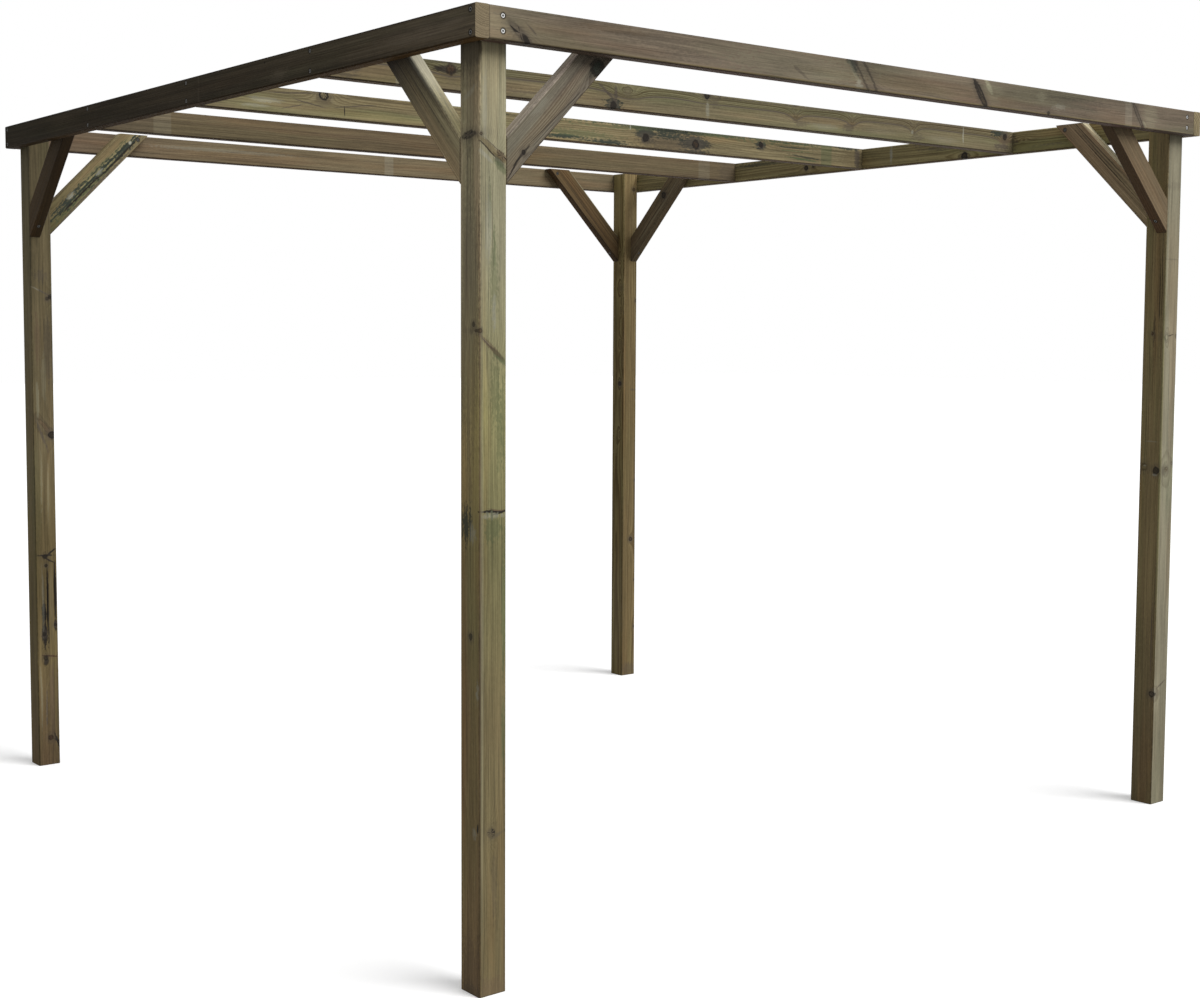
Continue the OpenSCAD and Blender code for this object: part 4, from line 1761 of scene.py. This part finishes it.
def shape_screw(screw, sizes, bm):
    """A countersunk screw with a six-lobed recess, driven down from its head's place."""
    rim_r = sizes.head_d / 2 - sizes.head_rim
    head_h = (sizes.head_d - sizes.shank_d) / 2
    star = bmesh.ops.create_circle(bm, segments=SCREW_SIDES, radius=sizes.drive_r)["verts"]
    star_edges = bm.edges[:]
    for vert in star:
        vert.co *= 1.0 + LOBE_DEPTH * math.cos(LOBES * math.atan2(vert.co.y, vert.co.x))
    bmesh.ops.create_circle(bm, segments=SCREW_SIDES, radius=rim_r)
    rim_edges = [e for e in bm.edges if e not in star_edges]
    bmesh.ops.bridge_loops(bm, edges=star_edges + rim_edges)
    recess = grow(bm, star_edges, sizes.drive_h, RECESS_TAPER)
    bmesh.ops.contextual_create(bm, geom=recess)
    sunk = bm.verts.layers.float.new("sunk")
    for edge in recess:
        for vert in edge.verts:
            vert[sunk] = 1.0
    outer = grow(bm, rim_edges, sizes.head_rim, sizes.head_d / 2 / rim_r)
    neck = grow(bm, outer, head_h, sizes.shank_d / sizes.head_d)
    shank_h = screw.length - sizes.head_sink - sizes.head_rim - head_h - sizes.point_h
    shank = grow(bm, neck, shank_h)
    tip = grow(bm, shank, sizes.point_h, POINT_TAPER)
    bmesh.ops.contextual_create(bm, geom=tip)
    driven = place_on(screw.head, screw.out) @ Matrix.Translation((0, 0, -sizes.head_sink))
    bmesh.ops.transform(bm, matrix=driven, verts=bm.verts)


def build_screws(node, screws, material):
    """Makes the screws of one CAD node, attaches them to the root body and hides the CAD node."""
    sizes = bpy.context.scene.arbor_sizes
    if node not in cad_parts:
        raise RuntimeError(f"the frame has no screws named {node}")
    shapes = [partial(shape_screw, screw, sizes) for screw in screws]
    made = own_object(node + "_zinc", partial(gather, shapes), material)
    made.data.set_sharp_from_angle(angle=math.radians(SHARP))
    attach(made, "root")
    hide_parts(node)


# ---------------------------------------------------------------------------
# Stage
# ---------------------------------------------------------------------------

# metres from the middle to the floor's edge, and to the lamp
FLOOR_REACH = 60.0
LAMP_REACH = 6.0


def only_shown(graph):
    """1 for rays that only show a surface: from the camera, mirrored or through glass."""
    rays = graph.add("ShaderNodeLightPath", None, None, "Is Camera Ray")
    return rays.most(rays.other("Is Glossy Ray")).most(rays.other("Is Transmission Ray"))


def floor_material(light, colours):
    """Pale where it is seen, and darker where it lights the arbor from below."""
    material = bpy.data.materials.new("floor")
    graph = Graph(material)
    lighting = graph.add("ShaderNodeBsdfDiffuse", None, {"Color": (light.bounce,) * 3})
    pale = graph.add("ShaderNodeBsdfDiffuse", None, {"Color": colours.floor})
    glow = graph.add("ShaderNodeEmission", None, {"Color": (1, 1, 1), "Strength": light.floor_glow})
    seen = graph.add("ShaderNodeAddShader", None, {0: pale, 1: glow})
    shown = graph.add("ShaderNodeMixShader", None, {0: only_shown(graph), 1: lighting, 2: seen})
    graph.add("ShaderNodeOutputMaterial", None, {"Surface": shown})
    return material


def studio_world(light):
    """An even light all round that shows as white."""
    world = bpy.data.worlds.new("studio")
    graph = Graph(world)
    strength = light.fill + only_shown(graph) * (1.0 - light.fill)
    sky = graph.add("ShaderNodeBackground", None, {"Color": (1, 1, 1), "Strength": strength})
    graph.add("ShaderNodeOutputWorld", None, {"Surface": sky})
    return world


def floor_shape(level, bm):
    """One wide flat square at the ground."""
    bmesh.ops.create_grid(bm, x_segments=1, y_segments=1, size=FLOOR_REACH)
    bmesh.ops.translate(bm, vec=(0, 0, level), verts=bm.verts)


def add_lamp(scene, light):
    """The lamp, turned towards the arbor from its height and side."""
    lamp = bpy.data.lights.new("key", "SUN")
    lamp.energy = light.key * math.pi
    lamp.angle = light.key_spread
    key = bpy.data.objects.new("key", lamp)
    flat = math.cos(light.key_height)
    toward = Vector((
        math.sin(light.key_side) * flat,
        -math.cos(light.key_side) * flat,
        math.sin(light.key_height),
    ))
    key.rotation_euler = toward.to_track_quat("Z", "Y").to_euler()
    key.location = toward * LAMP_REACH
    scene.collection.objects.link(key)


def add_camera(scene, light):
    """The camera that the scene is seen through."""
    lens = bpy.data.cameras.new("camera")
    lens.lens = light.camera_lens
    lens.shift_x, lens.shift_y = light.camera_shift
    camera = bpy.data.objects.new("camera", lens)
    camera.location = light.camera_place
    camera.rotation_euler = light.camera_turn
    scene.collection.objects.link(camera)
    scene.camera = camera


# ---------------------------------------------------------------------------
# Operators
# ---------------------------------------------------------------------------

class ARBOR_OT_stage(Operator):
    """Makes the floor, the light and the camera"""

    bl_idname = "arbor.stage"
    bl_label = "Stage"

    def execute(self, context):
        scene = context.scene
        light = scene.arbor_light
        level = CAD_BOX[0].z
        floor = own_object(
            "floor", partial(floor_shape, level), floor_material(light, scene.arbor_colours)
        )
        scene.world = studio_world(light)
        add_lamp(scene, light)
        add_camera(scene, light)
        scene.view_settings.view_transform = "Standard"
        return {"FINISHED"}


class ARBOR_OT_posts(Operator):
    """Makes the four posts"""

    bl_idname = "arbor.posts"
    bl_label = "Posts"

    def execute(self, context):
        posts = [straight_timber("z", node) for node in POSTS]
        build_timbers(posts, context.scene.arbor_sizes.post_ease)
        return {"FINISHED"}


class ARBOR_OT_beams(Operator):
    """Makes the front and back beams and the two side beams"""

    bl_idname = "arbor.beams"
    bl_label = "Beams"

    def execute(self, context):
        beams = [straight_timber("x", node) for node in CROSS_BEAMS]
        beams += [straight_timber("y", node) for node in SIDE_BEAMS]
        build_timbers(beams, context.scene.arbor_sizes.board_ease)
        return {"FINISHED"}


class ARBOR_OT_rafters(Operator):
    """Makes the three rafters"""

    bl_idname = "arbor.rafters"
    bl_label = "Rafters"

    def execute(self, context):
        rafters = [straight_timber("x", node) for node in RAFTERS]
        build_timbers(rafters, context.scene.arbor_sizes.board_ease)
        return {"FINISHED"}


class ARBOR_OT_braces(Operator):
    """Makes the eight knee braces"""

    bl_idname = "arbor.braces"
    bl_label = "Knee braces"

    def execute(self, context):
        sizes = context.scene.arbor_sizes
        braces = [brace_timber(sizes.brace_w, node) for node in BRACES]
        build_timbers(braces, sizes.board_ease)
        return {"FINISHED"}


class ARBOR_OT_screws(Operator):
    """Makes the countersunk screws"""

    bl_idname = "arbor.screws"
    bl_label = "Screws"

    def execute(self, context):
        scene = context.scene
        bright = zinc_material("zinc_bright", tuple(scene.arbor_colours.zinc))
        # the dull copy is the same zinc painted darker, as painted shade, for all but the cross beams'
        # screws
        dull = zinc_material("zinc_dull", tuple(scene.arbor_colours.dull_zinc))
        for node, screws in all_screws(scene.arbor_sizes).items():
            build_screws(node, screws, bright if node.endswith(CROSS_BEAMS) else dull)
        return {"FINISHED"}


class ARBOR_PT_panel(Panel):
    """Steps and settings of the garden arbor"""

    bl_idname = "ARBOR_PT_panel"
    bl_label = "Garden Arbor"
    bl_space_type = "VIEW_3D"
    bl_region_type = "UI"
    bl_category = "Arbor"

    def draw(self, context):
        for operator in OPERATORS:
            self.layout.operator(operator.bl_idname)
        for name in SETTINGS:
            box = self.layout.box()
            settings = getattr(context.scene, name)
            for prop in settings.bl_rna.properties:
                if prop.identifier not in ("rna_type", "name"):
                    box.prop(settings, prop.identifier)


OPERATORS = (
    ARBOR_OT_stage,
    ARBOR_OT_posts,
    ARBOR_OT_beams,
    ARBOR_OT_rafters,
    ARBOR_OT_braces,
    ARBOR_OT_screws,
)
SETTINGS = {
    "arbor_sizes": ArborSizes,
    "arbor_colours": ArborColours,
    "arbor_light": ArborLight,
}
CLASSES = (*SETTINGS.values(), *OPERATORS, ARBOR_PT_panel)


def register():
    """Adds the settings, the operators and the panel to Blender."""
    for cls in CLASSES:
        bpy.utils.register_class(cls)
    for name, cls in SETTINGS.items():
        setattr(bpy.types.Scene, name, PointerProperty(type=cls))


def unregister():
    """Takes them away again."""
    for name in SETTINGS:
        delattr(bpy.types.Scene, name)
    for cls in reversed(CLASSES):
        bpy.utils.unregister_class(cls)


def main():
    """Builds the arbor."""
    register()
    bpy.ops.arbor.stage()
    bpy.ops.arbor.posts()
    bpy.ops.arbor.beams()
    bpy.ops.arbor.rafters()
    bpy.ops.arbor.braces()
    bpy.ops.arbor.screws()


if __name__ == "__main__":
    main()
